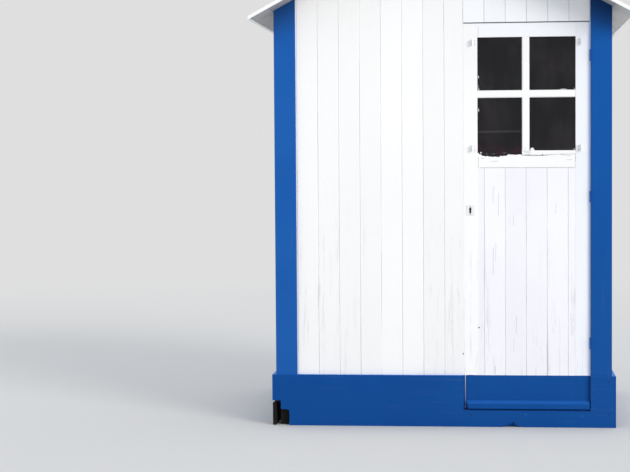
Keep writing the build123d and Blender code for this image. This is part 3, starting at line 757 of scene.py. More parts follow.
# Each board wanders by a noise that starts from its own tone, so no two wander alike.
own = make("GeometryNodeInputNamedAttribute", {"Name": "board_tone"}, data_type="FLOAT")
wave = make("ShaderNodeTexNoise", {"Vector": joined(times(x, 3.0), 0.0, times(z, 4.0)), "W": times(own, 91.0),
                                   "Scale": 1.0, "Detail": 2.0}, noise_dimensions="4D")
wave = times(less(wave, 0.5), times(g_in["Wander"], 4.0))
x_new = sums("MINIMUM", sums("MAXIMUM", plus(x, wave), g_in["Left"]), g_in["Right"])
y_new = plus(y, times(thickness, 0.5))
top = less(g_in["Top"], times(sums("ABSOLUTE", x_new), g_in["Fall Across"]))
top = less(top, times(y_new, g_in["Fall Through"]))
z_new = plus(g_in["Foot"], times(z, less(top, g_in["Foot"])))
boards = make("GeometryNodeSetPosition", {"Geometry": boards, "Position": joined(x_new, y_new, z_new)})
boards = make("GeometryNodeSetShadeSmooth", {"Geometry": boards, "Shade Smooth": False})
boards = make("GeometryNodeRealizeInstances", {"Geometry": boards})
boards = make("GeometryNodeSetMaterial", {"Geometry": boards, "Material": g_in["Finish"]})
at_back = compare(split(make("GeometryNodeInputNormal"))["Y"], "GREATER_THAN", 0.7)
boards = make("GeometryNodeSetMaterial", {"Geometry": boards, "Selection": at_back,
                                          "Material": g_in["Back Finish"]})
link(boards, g_out["Boards"])
print("tree", boarding.name, "with", len(boarding.nodes), "nodes")

# %% A helper that boards a wall
def boarded(name, node, finish, move, body="hut", slot="white_paint", back_finish=None, **settings):
    """Boards made lying at the origin, then moved to their wall, where they stand for a node."""
    named = {key.replace("_", " "): value for key, value in settings.items()}
    piece = grow(boarding, name, {**named, "Finish": finish, "Back Finish": back_finish or finish})
    piece.data.transform(move)
    return keep(piece, body, slot, node)


def moved_to(x, y, turned=0):
    """A move to a place on the ground plan after a turn in degrees."""
    return Matrix.Translation((x, y, 0.0)) @ Matrix.Rotation(radians(turned), 4, "Z")


print("boards across the front", round(2 * HALF / BOARD))


# %% Board the front, the back and the sides
SET_IN, WALL_BOARD = 0.0060, 0.1057    # the boards left of the door start further in and are a little wider
front_face = moved_to(0.0, FRONT)
gable = {"Top": RIDGE, "Fall_Across": tan(SLOPE), "back_finish": wood_upright}
side = {"Boards": 13, "Start": FRONT, "Left": FRONT, "Right": BACK, "Top": RIDGE - HALF * tan(SLOPE),
        "Fall_Through": -tan(SLOPE), "back_finish": wood_upright}
front_left = boarded("front_boards_left", "front_wall_left", white_boards, front_face, Boards=9,
                     Board_Width=WALL_BOARD, Start=-HALF + SET_IN, Left=-INNER_X, Right=DOOR_L, Seed=3,
                     **gable)
front_right = boarded("front_boards_right", "front_wall_right", white_boards, front_face, Boards=1,
                      Start=DOOR_R, Left=DOOR_R, Right=INNER_X, Seed=4, **gable)
front_over = boarded("front_boards_over_door", "front_wall_over_door", cool_boards, front_face, Boards=6,
                     Start=DOOR_L, Left=DOOR_L, Right=DOOR_R, Foot=DOOR_HEAD, Rows=3, Seed=5, Bevel=0.0030,
                     Gap=0.0014, **gable)
back = boarded("back_boards", "back_wall", white_boards, moved_to(0.0, BACK, 180), Boards=16, Start=-HALF,
               Left=-INNER_X, Right=INNER_X, Seed=6, **gable)
side_right, side_left = [
    boarded(f"side_boards_{name}", f"side_wall_{name}", white_boards, move, Seed=seed, **side)
    for name, move, seed in (("right", moved_to(HALF, 0.0, 90), 7), ("left", moved_to(-HALF, 0.0, -90), 8))]
for piece in (front_left, front_right, front_over, back, side_right, side_left):
    print(piece.name, *extent(piece), "faces", len(piece.data.polygons))


# %% [markdown]
# ## The broken lower left corner
# A piece has rotted away from the corner, through the cladding too. Sawing it out by hand would mean
# cutting many small faces, so a Boolean takes the shape of the break away from the boards, and the faces
# that it leaves take the dark wood of the cutter. The broken line is jagged at two scales: the large steps
# are given as points, and small seeded offsets between them make splinters.

# %% Helpers for broken outlines and flat pieces
def ragged(points, step, size, seed):
    """The same line with more points on it, each moved a little."""
    chance = random.Random(seed)
    made = [points[0]]
    for (ax, az), (bx, bz) in zip(points, points[1:]):
        count = max(1, int(((bx - ax) ** 2 + (bz - az) ** 2) ** 0.5 / step))
        for i in range(1, count + 1):
            t = i / count
            jump = 0.0 if i == count and (bx, bz) == points[-1] else size
            made.append((ax + (bx - ax) * t + chance.uniform(-jump, jump),
                         az + (bz - az) * t + chance.uniform(-jump, jump)))
    return made


def thicken(shape, face, move):
    """Draws a flat face out into a solid."""
    made = bmesh.ops.extrude_face_region(shape, geom=[face])
    moved = [part for part in made["geom"] if isinstance(part, bmesh.types.BMVert)]
    bmesh.ops.translate(shape, vec=(0.0, move, 0.0), verts=moved)
    bmesh.ops.recalc_face_normals(shape, faces=shape.faces)


def prism(name, outline, front, back, finish=None, bevel=0.0, segments=1):
    """A flat piece whose outline is seen from the front, between two depths."""
    shape = bmesh.new()
    thicken(shape, shape.faces.new([shape.verts.new((x, front, z)) for x, z in outline]), back - front)
    if bevel:
        rounded(shape, bevel, segments)
    return new_piece(name, shape, finish)


def rounded(shape, width, segments=2):
    """Rounds every sharp arris of a bmesh and marks the new faces for the paint's chips."""
    mark = shape.faces.layers.float.get("arris") or shape.faces.layers.float.new("arris")
    sharp = [edge for edge in shape.edges
             if len(edge.link_faces) == 2 and edge.calc_face_angle(0.0) > radians(20)]
    made = bmesh.ops.bevel(shape, geom=sharp, offset=width, offset_type="OFFSET", segments=segments,
                           profile=0.5, clamp_overlap=True, affect="EDGES")
    for face in made["faces"]:
        face[mark] = 1.0


def cut_away(piece, cutter):
    """Takes the cutter's shape from a piece and drops the cutter."""
    modifier = piece.modifiers.new("cut", "BOOLEAN")
    modifier.operation, modifier.object, modifier.solver = "DIFFERENCE", cutter, "EXACT"
    modifier.use_self, modifier.material_mode = True, "TRANSFER"
    settle(piece)
    bpy.data.objects.remove(cutter)


print("points in a ragged metre", len(ragged([(0.0, 0.0), (1.0, 0.0)], 0.006, 0.0, 1)))


# %% Break the corner of the boards
CORNER = -HALF - PLINTH_T
SPLINTER_STEP, SPLINTER = 0.006, 0.0016
FRONT_BREAK = [(0, 142), (30, 138), (54, 133), (66, 104), (98, 96), (112, 52), (108, 0)]
SIDE_BREAK = [(0, 118), (30, 116), (62, 100), (84, 72), (120, 58), (138, 0)]
to_side = Matrix.Rotation(radians(90), 4, "Z")


def splintered(points, start, seed):
    """A ragged line through offsets in millimetres."""
    return ragged([(start + along / 1000, z / 1000) for along, z in points], SPLINTER_STEP, SPLINTER, seed)


def break_outline(points, start, seed):
    """A ragged outline of what has gone, carried past its first and last point."""
    line = splintered(points, start, seed)
    return [(line[0][0] - 0.01, -0.01), (line[0][0] - 0.01, line[0][1]), *line, (line[-1][0], -0.01)]


cut_away(front_left, prism("break_front", break_outline(FRONT_BREAK, CORNER, 11), FRONT - 0.004,
                           -INNER_Y + 0.004, rotten_wood))
side_cutter = prism("break_side", break_outline(SIDE_BREAK, FRONT, 13), INNER_X - 0.004, HALF + 0.004,
                    rotten_wood)
side_cutter.data.transform(to_side)
cut_away(side_left, side_cutter)
for piece in (front_left, side_left):
    used = [face.material_index for face in piece.data.polygons]
    print(piece.name, "faces after the cut",
          {str(m and m.name): used.count(i) for i, m in enumerate(piece.data.materials)})

# %% Leave rotten remains in the side of the corner
# The remains take the near black of rot and painted shade.
REMAINS = [(-12, 2), (-14, 60), (-12, 112), (30, 114), (56, 101), (80, 68), (104, 58), (126, 2)]
remains = prism("rotten_remains", splintered(REMAINS, FRONT, 17), HALF + 0.0012, -CORNER - 0.0015,
                rotten_wood)
remains.data.transform(to_side)
keep(remains, "hut", "blue_paint")
print("remains", extent(remains))

# %% [markdown]
# ## Rounded arrises on the plain timber
# Rails, stiles, corner boards and plinths are straight timber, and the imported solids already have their
# shape. What they lack is the soft arris that sanding and coats of paint give, and that catches light.
# A copy of each is cleaned of its triangles, its sharp edges are rounded by about a millimetre, and
# the new faces are marked, so that paint wears there first.

# %% Make eased copies of the timber
def eased(node_name, width, finish, body="hut", slot=None):
    """A copy of a node with its arrises rounded, which stands for the node."""
    shape = bmesh.new()
    shape.from_mesh(nodes[node_name].data)
    bmesh.ops.remove_doubles(shape, verts=shape.verts, dist=1e-6)
    bmesh.ops.dissolve_limit(shape, angle_limit=radians(0.4), verts=shape.verts, edges=shape.edges)
    rounded(shape, width)
    paint = "blue_paint" if finish.name.startswith("blue") else "white_paint"
    return keep(new_piece(node_name + "_eased", shape, finish), body, slot or paint, node_name)


for name, width, finish in [
        ("corner_board_front_left", 0.0012, blue_post),
        ("corner_board_front_right", 0.0012, blue_post_right),
        ("corner_boards_back", 0.0012, blue_post),
        ("plinth_front", 0.0010, blue_plinth),
        ("plinth_back", 0.0012, blue_plinth),
        ("plinth_left", 0.0010, blue_plinth_side),
        ("plinth_right", 0.0012, blue_plinth_side),
        ("door_sill", 0.0015, blue_sill),
        ("door_stop", 0.0010, white_upright),
        ("eave_trims", 0.0012, white_trim),
        ("verge_trim_front", 0.0012, white_level),
        ("verge_trim_back", 0.0012, white_level)]:
    eased(name, width, finish)
for name, width, finish in [
        ("door_stile_lock", 0.0010, lock_stile_paint),
        ("door_stile_hinge", 0.0004, hinge_stile_paint),
        ("door_top_rail", 0.0010, cool_level),
        ("door_bottom_rail", 0.0010, blue_plinth),
        ("weather_bar", 0.0012, blue_plinth),
        ("glazing_bars", 0.0007, white_upright)]:
    eased(name, width, finish, "door")


# %% Show rot and painted shade where the plinth has broken
def rot_and_shade_faces(name, across, low, high, top):
    """Rot and painted shade on the broken faces that look along a plinth, between two places, below a height.
    """
    mesh = bpy.data.objects[name].data
    mesh.materials.append(rotten_wood)
    along = 1 - across
    broken = [face for face in mesh.polygons
              if low < face.center[along] < high and face.center.z < top and abs(face.normal[across]) < 0.5]
    for face in broken:
        face.material_index = len(mesh.materials) - 1
    return len(broken)


BREAK_TOP, BITE_TOP = 0.1275, 0.03
print("broken faces", rot_and_shade_faces("plinth_front_eased", 1, CORNER, CORNER + 0.10, BREAK_TOP),
      rot_and_shade_faces("plinth_front_eased", 1, DOOR_L + 0.19, DOOR_L + 0.30, BITE_TOP),
      rot_and_shade_faces("plinth_left_eased", 0, FRONT, FRONT + 0.17, BREAK_TOP))

# %% [markdown]
# ## The boards in the door
# The lower half of the door is filled with the same matchboard, all but flush with the frame. The first
# joint lines up with the wall's, and the boards after it are a little narrower. The same tree makes them:
# the first and the last board are only slivers, because the stiles cover the rest of them.

# %% Board the door
PANEL_IN, PANEL_BOARD = 0.001, 0.1037
PANEL_FACE = FRONT + PANEL_IN
door_boards = boarded("door_panel_boards", "door_boards", white_door, moved_to(0.0, PANEL_FACE), "door",
                      Board_Width=PANEL_BOARD, Boards=6, Start=DOOR_L + BOARD - PANEL_BOARD, Left=WINDOW_L,
                      Right=WINDOW_R, Foot=PLINTH_TOP, Top=MID_RAIL_Z, Seed=12)
print("door boards", len(door_boards.data.polygons), "faces")

# %% [markdown]
# ## The rail below the window
# This rail has suffered most. On the left its glazing bead has rotted away to a ragged edge, and on the
# right the bead is still there, split from the rail along a dark crack. One solid could not be ragged in
# front and straight behind, so the rail is made at three depths: the front with its ragged lip, the strip
# behind the glass, and a core between them. The loose bead, its broken end and a strip of dull grey wood in
# the crack are pieces of their own; the strip is bare wood and painted shade of the crack.

# %% Make the rotted rail
GLASS_FRONT, GLASS_BACK, LEAF_BACK = FRONT + 0.012, FRONT + 0.016, FRONT + 0.028
BAR_L, BAR_R = 0.398, 0.435
RAIL_BREAK = [(0, 24), (4, 27), (8, 21), (12, 18), (16, 22), (20, 15), (27, 12), (38, 9), (49, 11), (58, 7),
              (66, 9), (76, 6), (90, 8), (100, 5), (107, 6), (113, 12), (124, 9), (134, 12), (142, 10),
              (148, 15), (154, 19), (162, 16), (176, 18), (186, 15), (197, 17), (208, 18),
              (1000 * (BAR_L - WINDOW_L), 15)]     # millimetres along the rail and above the glass groove
lip = ragged([(WINDOW_L + x / 1000, GROOVE + z / 1000) for x, z in RAIL_BREAK], 0.0035, 0.0012, 21)
lip = [(min(max(x, WINDOW_L), BAR_L), z) for x, z in lip]

# The crack goes by place, height from the window's foot and half the gap, the last two in millimetres.
CRACK = [(BAR_L, -23.0, 1.4), (0.462, -24.0, 1.8), (0.505, -24.5, 1.6), (0.550, -20.0, 1.0),
         (0.600, -18.5, 0.6), (WINDOW_R, -18.5, 0.8)]


def crack_line(side, step, size, seed):
    """The lower or the upper lip of the crack under the sill, or a line beyond a lip."""
    return ragged([(x, WINDOW_FOOT + (z + side * gap) / 1000) for x, z, gap in CRACK], step, size, seed)


crack_low = crack_line(-1.0, 0.008, 0.0005, 22)
rail_foot = [(WINDOW_L, MID_RAIL_Z), (WINDOW_R, MID_RAIL_Z)]
rail_front = prism("mid_rail_front", [*rail_foot, *reversed(crack_low), *reversed(lip)], FRONT, GLASS_FRONT,
                   white_level, 0.0007)
rail_head = [*rail_foot, (WINDOW_R, WINDOW_FOOT), (BAR_R, WINDOW_FOOT)]
rail_back = prism("mid_rail_back", [*rail_head, (WINDOW_L, WINDOW_FOOT)], GLASS_BACK, LEAF_BACK, white_level,
                  0.0007)
rail_core = prism("mid_rail_core", [*rail_head, (BAR_R, GROOVE), (WINDOW_L, GROOVE)], GLASS_FRONT, GLASS_BACK,
                  white_level)
print("rail of three depths, lip points", len(lip))

# %% Make the loose bead and what shows through the crack
BEAD_L, BEAD_END = BAR_R + 0.001, BAR_L + 0.001
bead_low = [point for point in crack_line(1.0, 0.008, 0.0005, 23) if point[0] > BEAD_L]
bead_top = ragged([(BEAD_L, WINDOW_FOOT), (0.56, WINDOW_FOOT - 0.0006), (WINDOW_R, WINDOW_FOOT)],
                  0.03, 0.0004, 24)
loose_bead = prism("loose_bead", [*bead_low, *reversed(bead_top)], FRONT + 0.0004, GLASS_FRONT, white_level,
                   0.0006)
end_outline = [(BEAD_END, WINDOW_FOOT - 0.019), (BEAD_L, WINDOW_FOOT - 0.021), (BEAD_L, WINDOW_FOOT - 0.002),
               (BAR_L + 0.022, WINDOW_FOOT - 0.006), (BEAD_END, WINDOW_FOOT - 0.007)]
bead_end = prism("loose_bead_end", ragged(end_outline, 0.004, 0.0007, 25), FRONT + 0.0004, FRONT + 0.0018,
                 white_level)
# A strip of dull grey wood behind the crack: bare wood, and painted shade of the crack.
core_outline = [*crack_line(-3.0, 0.012, 0.0004, 26), *reversed(crack_line(3.0, 0.012, 0.0004, 27))]
crack_core = prism("crack_core", core_outline, FRONT + 0.0045, FRONT + 0.0060, weathered_wood)
for piece in (rail_back, rail_core, loose_bead, bead_end, crack_core):
    keep(piece, "door", "white_paint")
keep(rail_front, "door", "white_paint", "door_mid_rail")
print("rail pieces", 6, "bead points", len(bead_low) + len(bead_top))

# %% [markdown]
# ## Roof boards, felt and floor
# Looking up under the eaves, one sees the grey underside of the roof boards, which run from front to back.
# They are the wall's boards again, laid on the slope by a turned frame. The felt over them is a soft sheet
# that lies in two courses: the upper one laps over the lower, and a strip is bent over the ridge. A grid
# that follows the slope and swells a little between its nails makes it look laid rather than cut.

# %% Board the roof and the floor
DECK, FELT = 0.012, 0.003
VERGE_IN = 0.8725
SLOPE_LONG = 0.935 / cos(SLOPE)
FLOOR_Z = 0.086


def slope_frame(side):
    """A frame on one slope: first axis down the slope, second out of the roof, third along the ridge."""
    down = Vector((side * cos(SLOPE), 0.0, -sin(SLOPE)))
    out = Vector((side * sin(SLOPE), 0.0, cos(SLOPE)))
    turned = Matrix((down, out, down.cross(out))).transposed().to_4x4()
    return Matrix.Translation((0.0, 0.0, RIDGE)) @ turned


for side_name, sign in (("left", -1.0), ("right", 1.0)):
    boarded(f"roof_boards_{side_name}", f"roof_deck_{side_name}", soffit_paint, slope_frame(sign),
            slot="grey_wood", Board_Width=SLOPE_LONG / 10, Boards=10, Start=0.0, Left=0.0,
            Right=SLOPE_LONG - 0.0065, Foot=-VERGE_IN, Top=VERGE_IN, Thickness=DECK, Bevel=0.0018, Gap=0.0010,
            Wander=0.0004, Seed=30)
lay_flat = Matrix.Translation((0.0, 0.0, FLOOR_Z)) @ Matrix.Rotation(radians(-90), 4, "X")
boarded("floor_boards_laid", "floor_boards", floor_wood, lay_flat, slot="bare_wood", Board_Width=0.1173,
        Boards=14, Start=-INNER_X, Left=-INNER_X, Right=INNER_X, Foot=-INNER_Y, Top=INNER_Y, Bevel=0.0008,
        Gap=0.0016, Wander=0.0004, Rows=8, Seed=31)
print("roof and floor boarded")


# %% Lay the felt
def felt_sheet(name, rows, columns, where, thickness=FELT):
    """A thin closed sheet over a grid; where(u, v) gives a point on its underside and its upward normal."""
    shape = bmesh.new()
    layers = []
    for lift in (0.0, thickness):
        layer = []
        for i in range(rows + 1):
            points = [where(i / rows, j / columns) for j in range(columns + 1)]
            layer.append([shape.verts.new(point + normal * lift) for point, normal in points])
        layers.append(layer)
    under, over = layers
    for i in range(rows):
        for j in range(columns):
            shape.faces.new((over[i][j], over[i + 1][j], over[i + 1][j + 1], over[i][j + 1]))
            shape.faces.new((under[i][j], under[i][j + 1], under[i + 1][j + 1], under[i + 1][j]))
    ring = [(i, 0) for i in range(rows)] + [(rows, j) for j in range(columns)]
    ring += [(i, columns) for i in range(rows, 0, -1)] + [(0, j) for j in range(columns, 0, -1)]
    for (a, b), (c, d) in zip(ring, ring[1:] + ring[:1]):
        shape.faces.new((under[a][b], under[c][d], over[c][d], over[a][b]))
    bmesh.ops.recalc_face_normals(shape, faces=shape.faces)
    for face in shape.faces:
        face.smooth = True
    piece = new_piece(name, shape, roof_felt)
    piece.data.set_sharp_from_angle(angle=radians(35))
    return piece


def out_of(slope):
    """The way out of the roof in a slope's frame."""
    return (slope.to_3x3() @ Vector((0.0, 1.0, 0.0))).normalized()


LAP_TOP, LAP_FOOT, FELT_IN = 0.500, 0.575, 0.008


def course(sign, high, low, lapped):
    """One course on a slope, between two distances from the ridge."""
    slope = slope_frame(sign)

    def where(u, v):
        down, along = high + (low - high) * u, -VERGE_IN + 2 * VERGE_IN * v
        swell = 0.0007 * (1 + sin(along * 41.0 + down * 9.0)) * (0.3 + abs(sin(along * 3.1 + 1.0)))
        lift = FELT * min(1.0, max(0.0, (down - LAP_TOP + 0.02) / 0.02)) if lapped else 0.0
        edge = min(1.0, 12 * min(u, 1 - u, v, 1 - v))
        return slope @ Vector((down, DECK + lift + swell * edge, along)), out_of(slope)
    return where


for side_name, sign in (("left", -1.0), ("right", 1.0)):
    lower = felt_sheet(f"felt_lower_{side_name}", 16, 60, course(sign, LAP_TOP, SLOPE_LONG - FELT_IN, False))
    upper = felt_sheet(f"felt_upper_{side_name}", 20, 60, course(sign, FELT_IN, LAP_FOOT, True))
    keep(lower, "hut", "roof_felt", f"roof_felt_{side_name}")
    keep(upper, "hut", "roof_felt")
print("felt courses", 4)

# %% Bend a strip over the ridge
STRIP_REACH, STRIP_T, BEND = 0.120, 0.0025, 0.005     # half its width, its thickness, how soft its bend is


def over_ridge(u, v):
    """The ridge strip: straight on each slope and bent softly over the ridge."""
    x = STRIP_REACH * (2 * u - 1)
    bend = (x * x + BEND ** 2) ** 0.5
    along = -VERGE_IN + 2 * VERGE_IN * v
    swell = 0.0006 * (1 + sin(along * 37.0)) * min(1.0, 12 * min(u, 1 - u, v, 1 - v))
    z = RIDGE + (DECK + FELT + 0.0010) / cos(SLOPE) - bend * tan(SLOPE) + swell
    normal = Vector((x / bend * sin(SLOPE), 0.0, cos(SLOPE))).normalized()
    return Vector((x, along, z)), normal


keep(felt_sheet("felt_ridge_strip", 22, 60, over_ridge, STRIP_T), "hut", "roof_felt", "ridge_cap")
print("felt sheets", 5)

# %% [markdown]
# ## Beads round the door
# A five millimetre gap lets the door swing, but on the real hut hardly any shadow shows beside it, because
# the doorway is lined with a thin painted bead that leaves only a crack. The beads stop short of the
# hinges, and the one by the lock is thin enough for the door's edge to pass. A lipping on that edge closes
# the crack a little more, but not by the plinth, where the picture shows it dark.

# %% Make the beads
HINGE_Z, HINGE_REACH, BEAD_W, LOCK_BEAD_W, LIP = (0.420, 1.150, 1.850), 0.029, 0.0048, 0.0032, 0.0015
DOORWAY_FOOT, LEAF_TOP = 0.092, 2.0125
# Painted bluish shade: the beads beside the hinges sit in the corner board's shadow.
bead_shade_paint = painted("bluish_white_bead", tinted((238, 244, 255), (234, 241, 255)), UPRIGHT, 0.0, 0.0, FLAT)


def upright_bead(name, left, right, low, high, front, back, finish, bevel, body="hut"):
    """A strip that stands between two places, two heights and two depths behind the front."""
    outline = [(left, low), (right, low), (right, high), (left, high)]
    keep(prism(name, outline, FRONT + front, FRONT + back, finish, bevel), body, "white_paint")


# Below the plinth line the beads are the deep blue, which also stands in for the dark shade of the gap.
for number, (low, high, finish) in enumerate([(DOORWAY_FOOT, PLINTH_TOP, blue_plinth),
                                              (PLINTH_TOP, DOOR_HEAD, white_upright)]):
    upright_bead(f"doorway_bead_lock_{number}", DOOR_L, DOOR_L + LOCK_BEAD_W, low, high, 0.0002, 0.014,
                 finish, 0.0002)
upright_bead("door_edge_lipping", LEAF_L - LIP, LEAF_L + 0.0012, PLINTH_TOP, LEAF_TOP, 0.0001, 0.006,
             white_upright, 0.0002, "door")
spans = [DOORWAY_FOOT, PLINTH_TOP, PLINTH_TOP, *[z + s for z in HINGE_Z for s in (-HINGE_REACH, HINGE_REACH)],
         DOOR_HEAD]
for number, (low, high) in enumerate(zip(spans[::2], spans[1::2])):
    upright_bead(f"doorway_bead_hinge_{number}", DOOR_R - BEAD_W, DOOR_R, low, high, 0.0004, 0.016,
                 blue_plinth if high <= PLINTH_TOP else bead_shade_paint, 0.0003)
print("beads", 3 + len(spans) // 2)

# %% [markdown]
# ## Nails and screws
# Fixings repeat in rows, so one tree sets a small head on every point it is given and turns it to face
# out of the surface. The head itself is a handful of faces: a low dome for a nail, and a slotted disc for
# a screw. Each screw is turned by a seeded amount, because nobody lines up their slots.

# %% Make the two heads
def nail_head():
    """A low dome of unit radius."""
    shape = bmesh.new()
    rings = []
    for radius, z in ((1.0, -0.3), (1.0, 0.12), (0.78, 0.30), (0.4, 0.40)):
        rings.append([shape.verts.new((radius * cos(radians(36 * i)), radius * sin(radians(36 * i)), z))
                      for i in range(10)])
    for low, high in zip(rings, rings[1:]):
        for i in range(10):
            shape.faces.new((low[i], low[(i + 1) % 10], high[(i + 1) % 10], high[i]))
    shape.faces.new(rings[-1])
    shape.faces.new(rings[0][::-1])
    return new_piece("nail_head", shape)


def screw_head():
    """A disc of unit radius with a slot."""
    shape = bmesh.new()
    bmesh.ops.create_circle(shape, cap_ends=True, segments=14, radius=1.0)
    for y in (-0.15, 0.15):
        bmesh.ops.bisect_plane(shape, geom=shape.verts[:] + shape.edges[:] + shape.faces[:],
                               plane_co=(0, y, 0), plane_no=(0, 1, 0))
    rim = [edge for edge in shape.edges if len(edge.link_faces) == 1]
    side = bmesh.ops.extrude_edge_only(shape, edges=rim)["geom"]
    low = [part for part in side if isinstance(part, bmesh.types.BMVert)]
    bmesh.ops.translate(shape, vec=(0, 0, -0.5), verts=low)
    bmesh.ops.contextual_create(shape, geom=[e for e in shape.edges if len(e.link_faces) == 1])
    slot_face = min((f for f in shape.faces if f.calc_center_median().z > -0.01),
                    key=lambda f: abs(f.calc_center_median().y))
    bmesh.ops.inset_region(shape, faces=[slot_face], thickness=0.01)
    bmesh.ops.translate(shape, vec=(0, 0, -0.28), verts=slot_face.verts[:])
    bmesh.ops.recalc_face_normals(shape, faces=shape.faces)
    return new_piece("screw_head", shape)


heads = {"nail": nail_head(), "screw": screw_head()}
print("faces in a head", {name: len(head.data.polygons) for name, head in heads.items()})

# %% Build the fixings tree
fixings, g_in, g_out = open_group(
    "fixings", "GeometryNodeTree",
    [("Points", SHAPE, None), ("Head", OBJECT, None), ("Radius", FLOAT, 0.003), ("Seed", INT, 1),
     ("Finish", MATERIAL, None)],
    [("Fixings", SHAPE)])
make = partial(get, fixings)
head = make("GeometryNodeObjectInfo", {"Object": g_in["Head"]}, "Geometry")
facing = make("GeometryNodeInputNamedAttribute", {"Name": "facing"}, data_type="FLOAT_VECTOR")
aligned = make("FunctionNodeAlignRotationToVector", {"Vector": facing}, axis="Z")
any_turn = make("FunctionNodeRandomValue", {2: 0.0, 3: 3.14, "Seed": g_in["Seed"]}, 1, data_type="FLOAT")
spin = make("FunctionNodeAxisAngleToRotation", {"Axis": (0.0, 0.0, 1.0), "Angle": any_turn})
turned = make("FunctionNodeRotateRotation", {0: aligned, 1: spin}, rotation_space="LOCAL")
radius = joined(g_in["Radius"], g_in["Radius"], g_in["Radius"])
driven = make("GeometryNodeInstanceOnPoints", {"Points": g_in["Points"], "Instance": head, "Rotation": turned,
                                               "Scale": radius})
driven = make("GeometryNodeRealizeInstances", {"Geometry": driven})
driven = make("GeometryNodeSetMaterial", {"Geometry": driven, "Material": g_in["Finish"]})
link(driven, g_out["Fixings"])


def fix(name, kind, places, radius, finish, body="hut", slot="painted_steel", seed=1):
    """Sets a head at each (point, facing) pair."""
    mesh = bpy.data.meshes.new(name + "_points")
    mesh.from_pydata([place for place, _ in places], [], [])
    out = mesh.attributes.new("facing", "FLOAT_VECTOR", "POINT")
    for value, (_, direction) in zip(out.data, places):
        value.vector = direction
    piece = grow(fixings, name, {"Head": heads[kind], "Radius": radius, "Seed": seed, "Finish": finish}, mesh)
    return keep(piece, body, slot)


TO_FRONT, TO_BACK, TO_LEFT, TO_RIGHT = (0, -1, 0), (0, 1, 0), (-1, 0, 0), (1, 0, 0)
print("tree", fixings.name)

# %% Find the point on the hut behind a place in the picture
def seen_at(column, row, depth):
    """The point that shows at a place in the picture, on the upright plane at that depth."""
    across = (column - PHOTO_WIDE / 2) / PHOTO_WIDE * camera_data.sensor_width
    upward = (PHOTO_HIGH / 2 - row) / PHOTO_WIDE * camera_data.sensor_width
    ray = camera.matrix_world.to_3x3() @ Vector((across, upward, -camera_data.lens))
    start = camera.matrix_world.translation
    return tuple(start + ray * ((depth - start.y) / ray.y))


middle = seen_at(PHOTO_WIDE / 2, PHOTO_HIGH / 2, FRONT)
print("the middle of the picture shows the front at", [round(v, 3) for v in middle])


# %% Drive the fixings that the picture shows
PLINTH_FACE = FRONT - PLINTH_T
# The dark screws are darkened as painted shade of their countersinks.
DARK_SCREWS = [(608.8, 381.8), (608.8, 415.4), (471.1, 414.8)]
PALE_SCREWS = [(526.0, 414.5), (581.8, 416.3)]
RUSTY_NAIL, PAINTED_NAIL, DOOR_NAIL = (463.3, 353.7), (461.9, 95.5), (479.0, 327.5)
for name, spots, finish in (("dark", DARK_SCREWS, dark_screw_shade), ("pale", PALE_SCREWS, screw_pale)):
    fix(f"plinth_screws_{name}", "screw", [(seen_at(x, y, PLINTH_FACE - 0.0002), TO_FRONT) for x, y in spots],
        0.0046, finish, slot="blue_paint", seed=5)
for name, spot, finish in (("rusty", RUSTY_NAIL, dark_nail), ("painted", PAINTED_NAIL, clip_steel)):
    fix(f"front_nail_{name}", "nail", [(seen_at(*spot, FRONT), TO_FRONT)], 0.0034, finish)
fix("door_nail", "nail", [(seen_at(*DOOR_NAIL, PANEL_FACE), TO_FRONT)], 0.0038, dark_nail, "door")
print("a screw of the plinth at", [round(v, 3) for v in seen_at(*DARK_SCREWS[0], PLINTH_FACE)])

# %% [markdown]
# ### Painted nails in every board
# Each board is nailed to the framing at its foot, half way up and at the top. Under paint only a low bump
# is left, so these heads take the paint's own finish and stand a few tenths of a millimetre proud.

# %% Nail the boards
PAIR = (0.026, 0.079)              # the two nails from a board's left edge
RAIL_HEIGHTS = (0.300, 1.022)      # where the wall rails pass behind the boards
SUNK = 0.0006                      # how far a head's middle lies below the face


def wall_rows(face, facing, starts, heights):
    """Two nails in each board at each height; face(along, z) gives the place on the wall."""
    return [(face(start + off, z), facing) for start in starts for off in PAIR for z in heights]


def soffit_at(x):
    return RIDGE - abs(x) * tan(SLOPE)


def on_front(along, z):
    return along, FRONT + SUNK, z


front_starts = [-HALF + SET_IN + WALL_BOARD * i for i in range(1, 9)]
over_starts = [DOOR_L + BOARD * i for i in range(6)]
back_starts = [-HALF + BOARD * i for i in range(1, 15)]
side_starts = [FRONT + BOARD * i for i in range(13)]
places = wall_rows(on_front, TO_FRONT, front_starts, RAIL_HEIGHTS)
places += [(on_front(start + off, soffit_at(start + off) - 0.12), TO_FRONT)
           for start in [*front_starts, *over_starts] for off in PAIR]
places += wall_rows(lambda a, z: (a, BACK - SUNK, z), TO_BACK, back_starts, (*RAIL_HEIGHTS, 2.03))
places += wall_rows(lambda a, z: (HALF - SUNK, a, z), TO_RIGHT, side_starts, (*RAIL_HEIGHTS, 1.965))
places += wall_rows(lambda a, z: (SUNK - HALF, a, z), TO_LEFT, side_starts, (*RAIL_HEIGHTS, 1.965))
fix("painted_nails", "nail", places, 0.0030, white_boards, slot="white_paint")
print("painted nails", len(places))

# %% Nail the felt
def clouts(sign):
    """Galvanised nails along the eave, the lap and both verges of a slope."""
    slope = slope_frame(sign)
    row = [-0.84 + 0.07 * i for i in range(25)]
    spots = [(SLOPE_LONG - 0.03, along, 0.0) for along in row]
    spots += [(LAP_FOOT - 0.025, along, FELT) for along in row]
    spots += [(0.10 + 0.075 * i, y, 0.0) for i in range(13) for y in (-VERGE_IN + 0.02, VERGE_IN - 0.02)]
    spots += [(STRIP_REACH - 0.005, along, FELT) for along in row]
    return [(tuple(slope @ Vector((down, DECK + FELT + 0.0012 + top, along))), tuple(out_of(slope)))
            for down, along, top in spots]


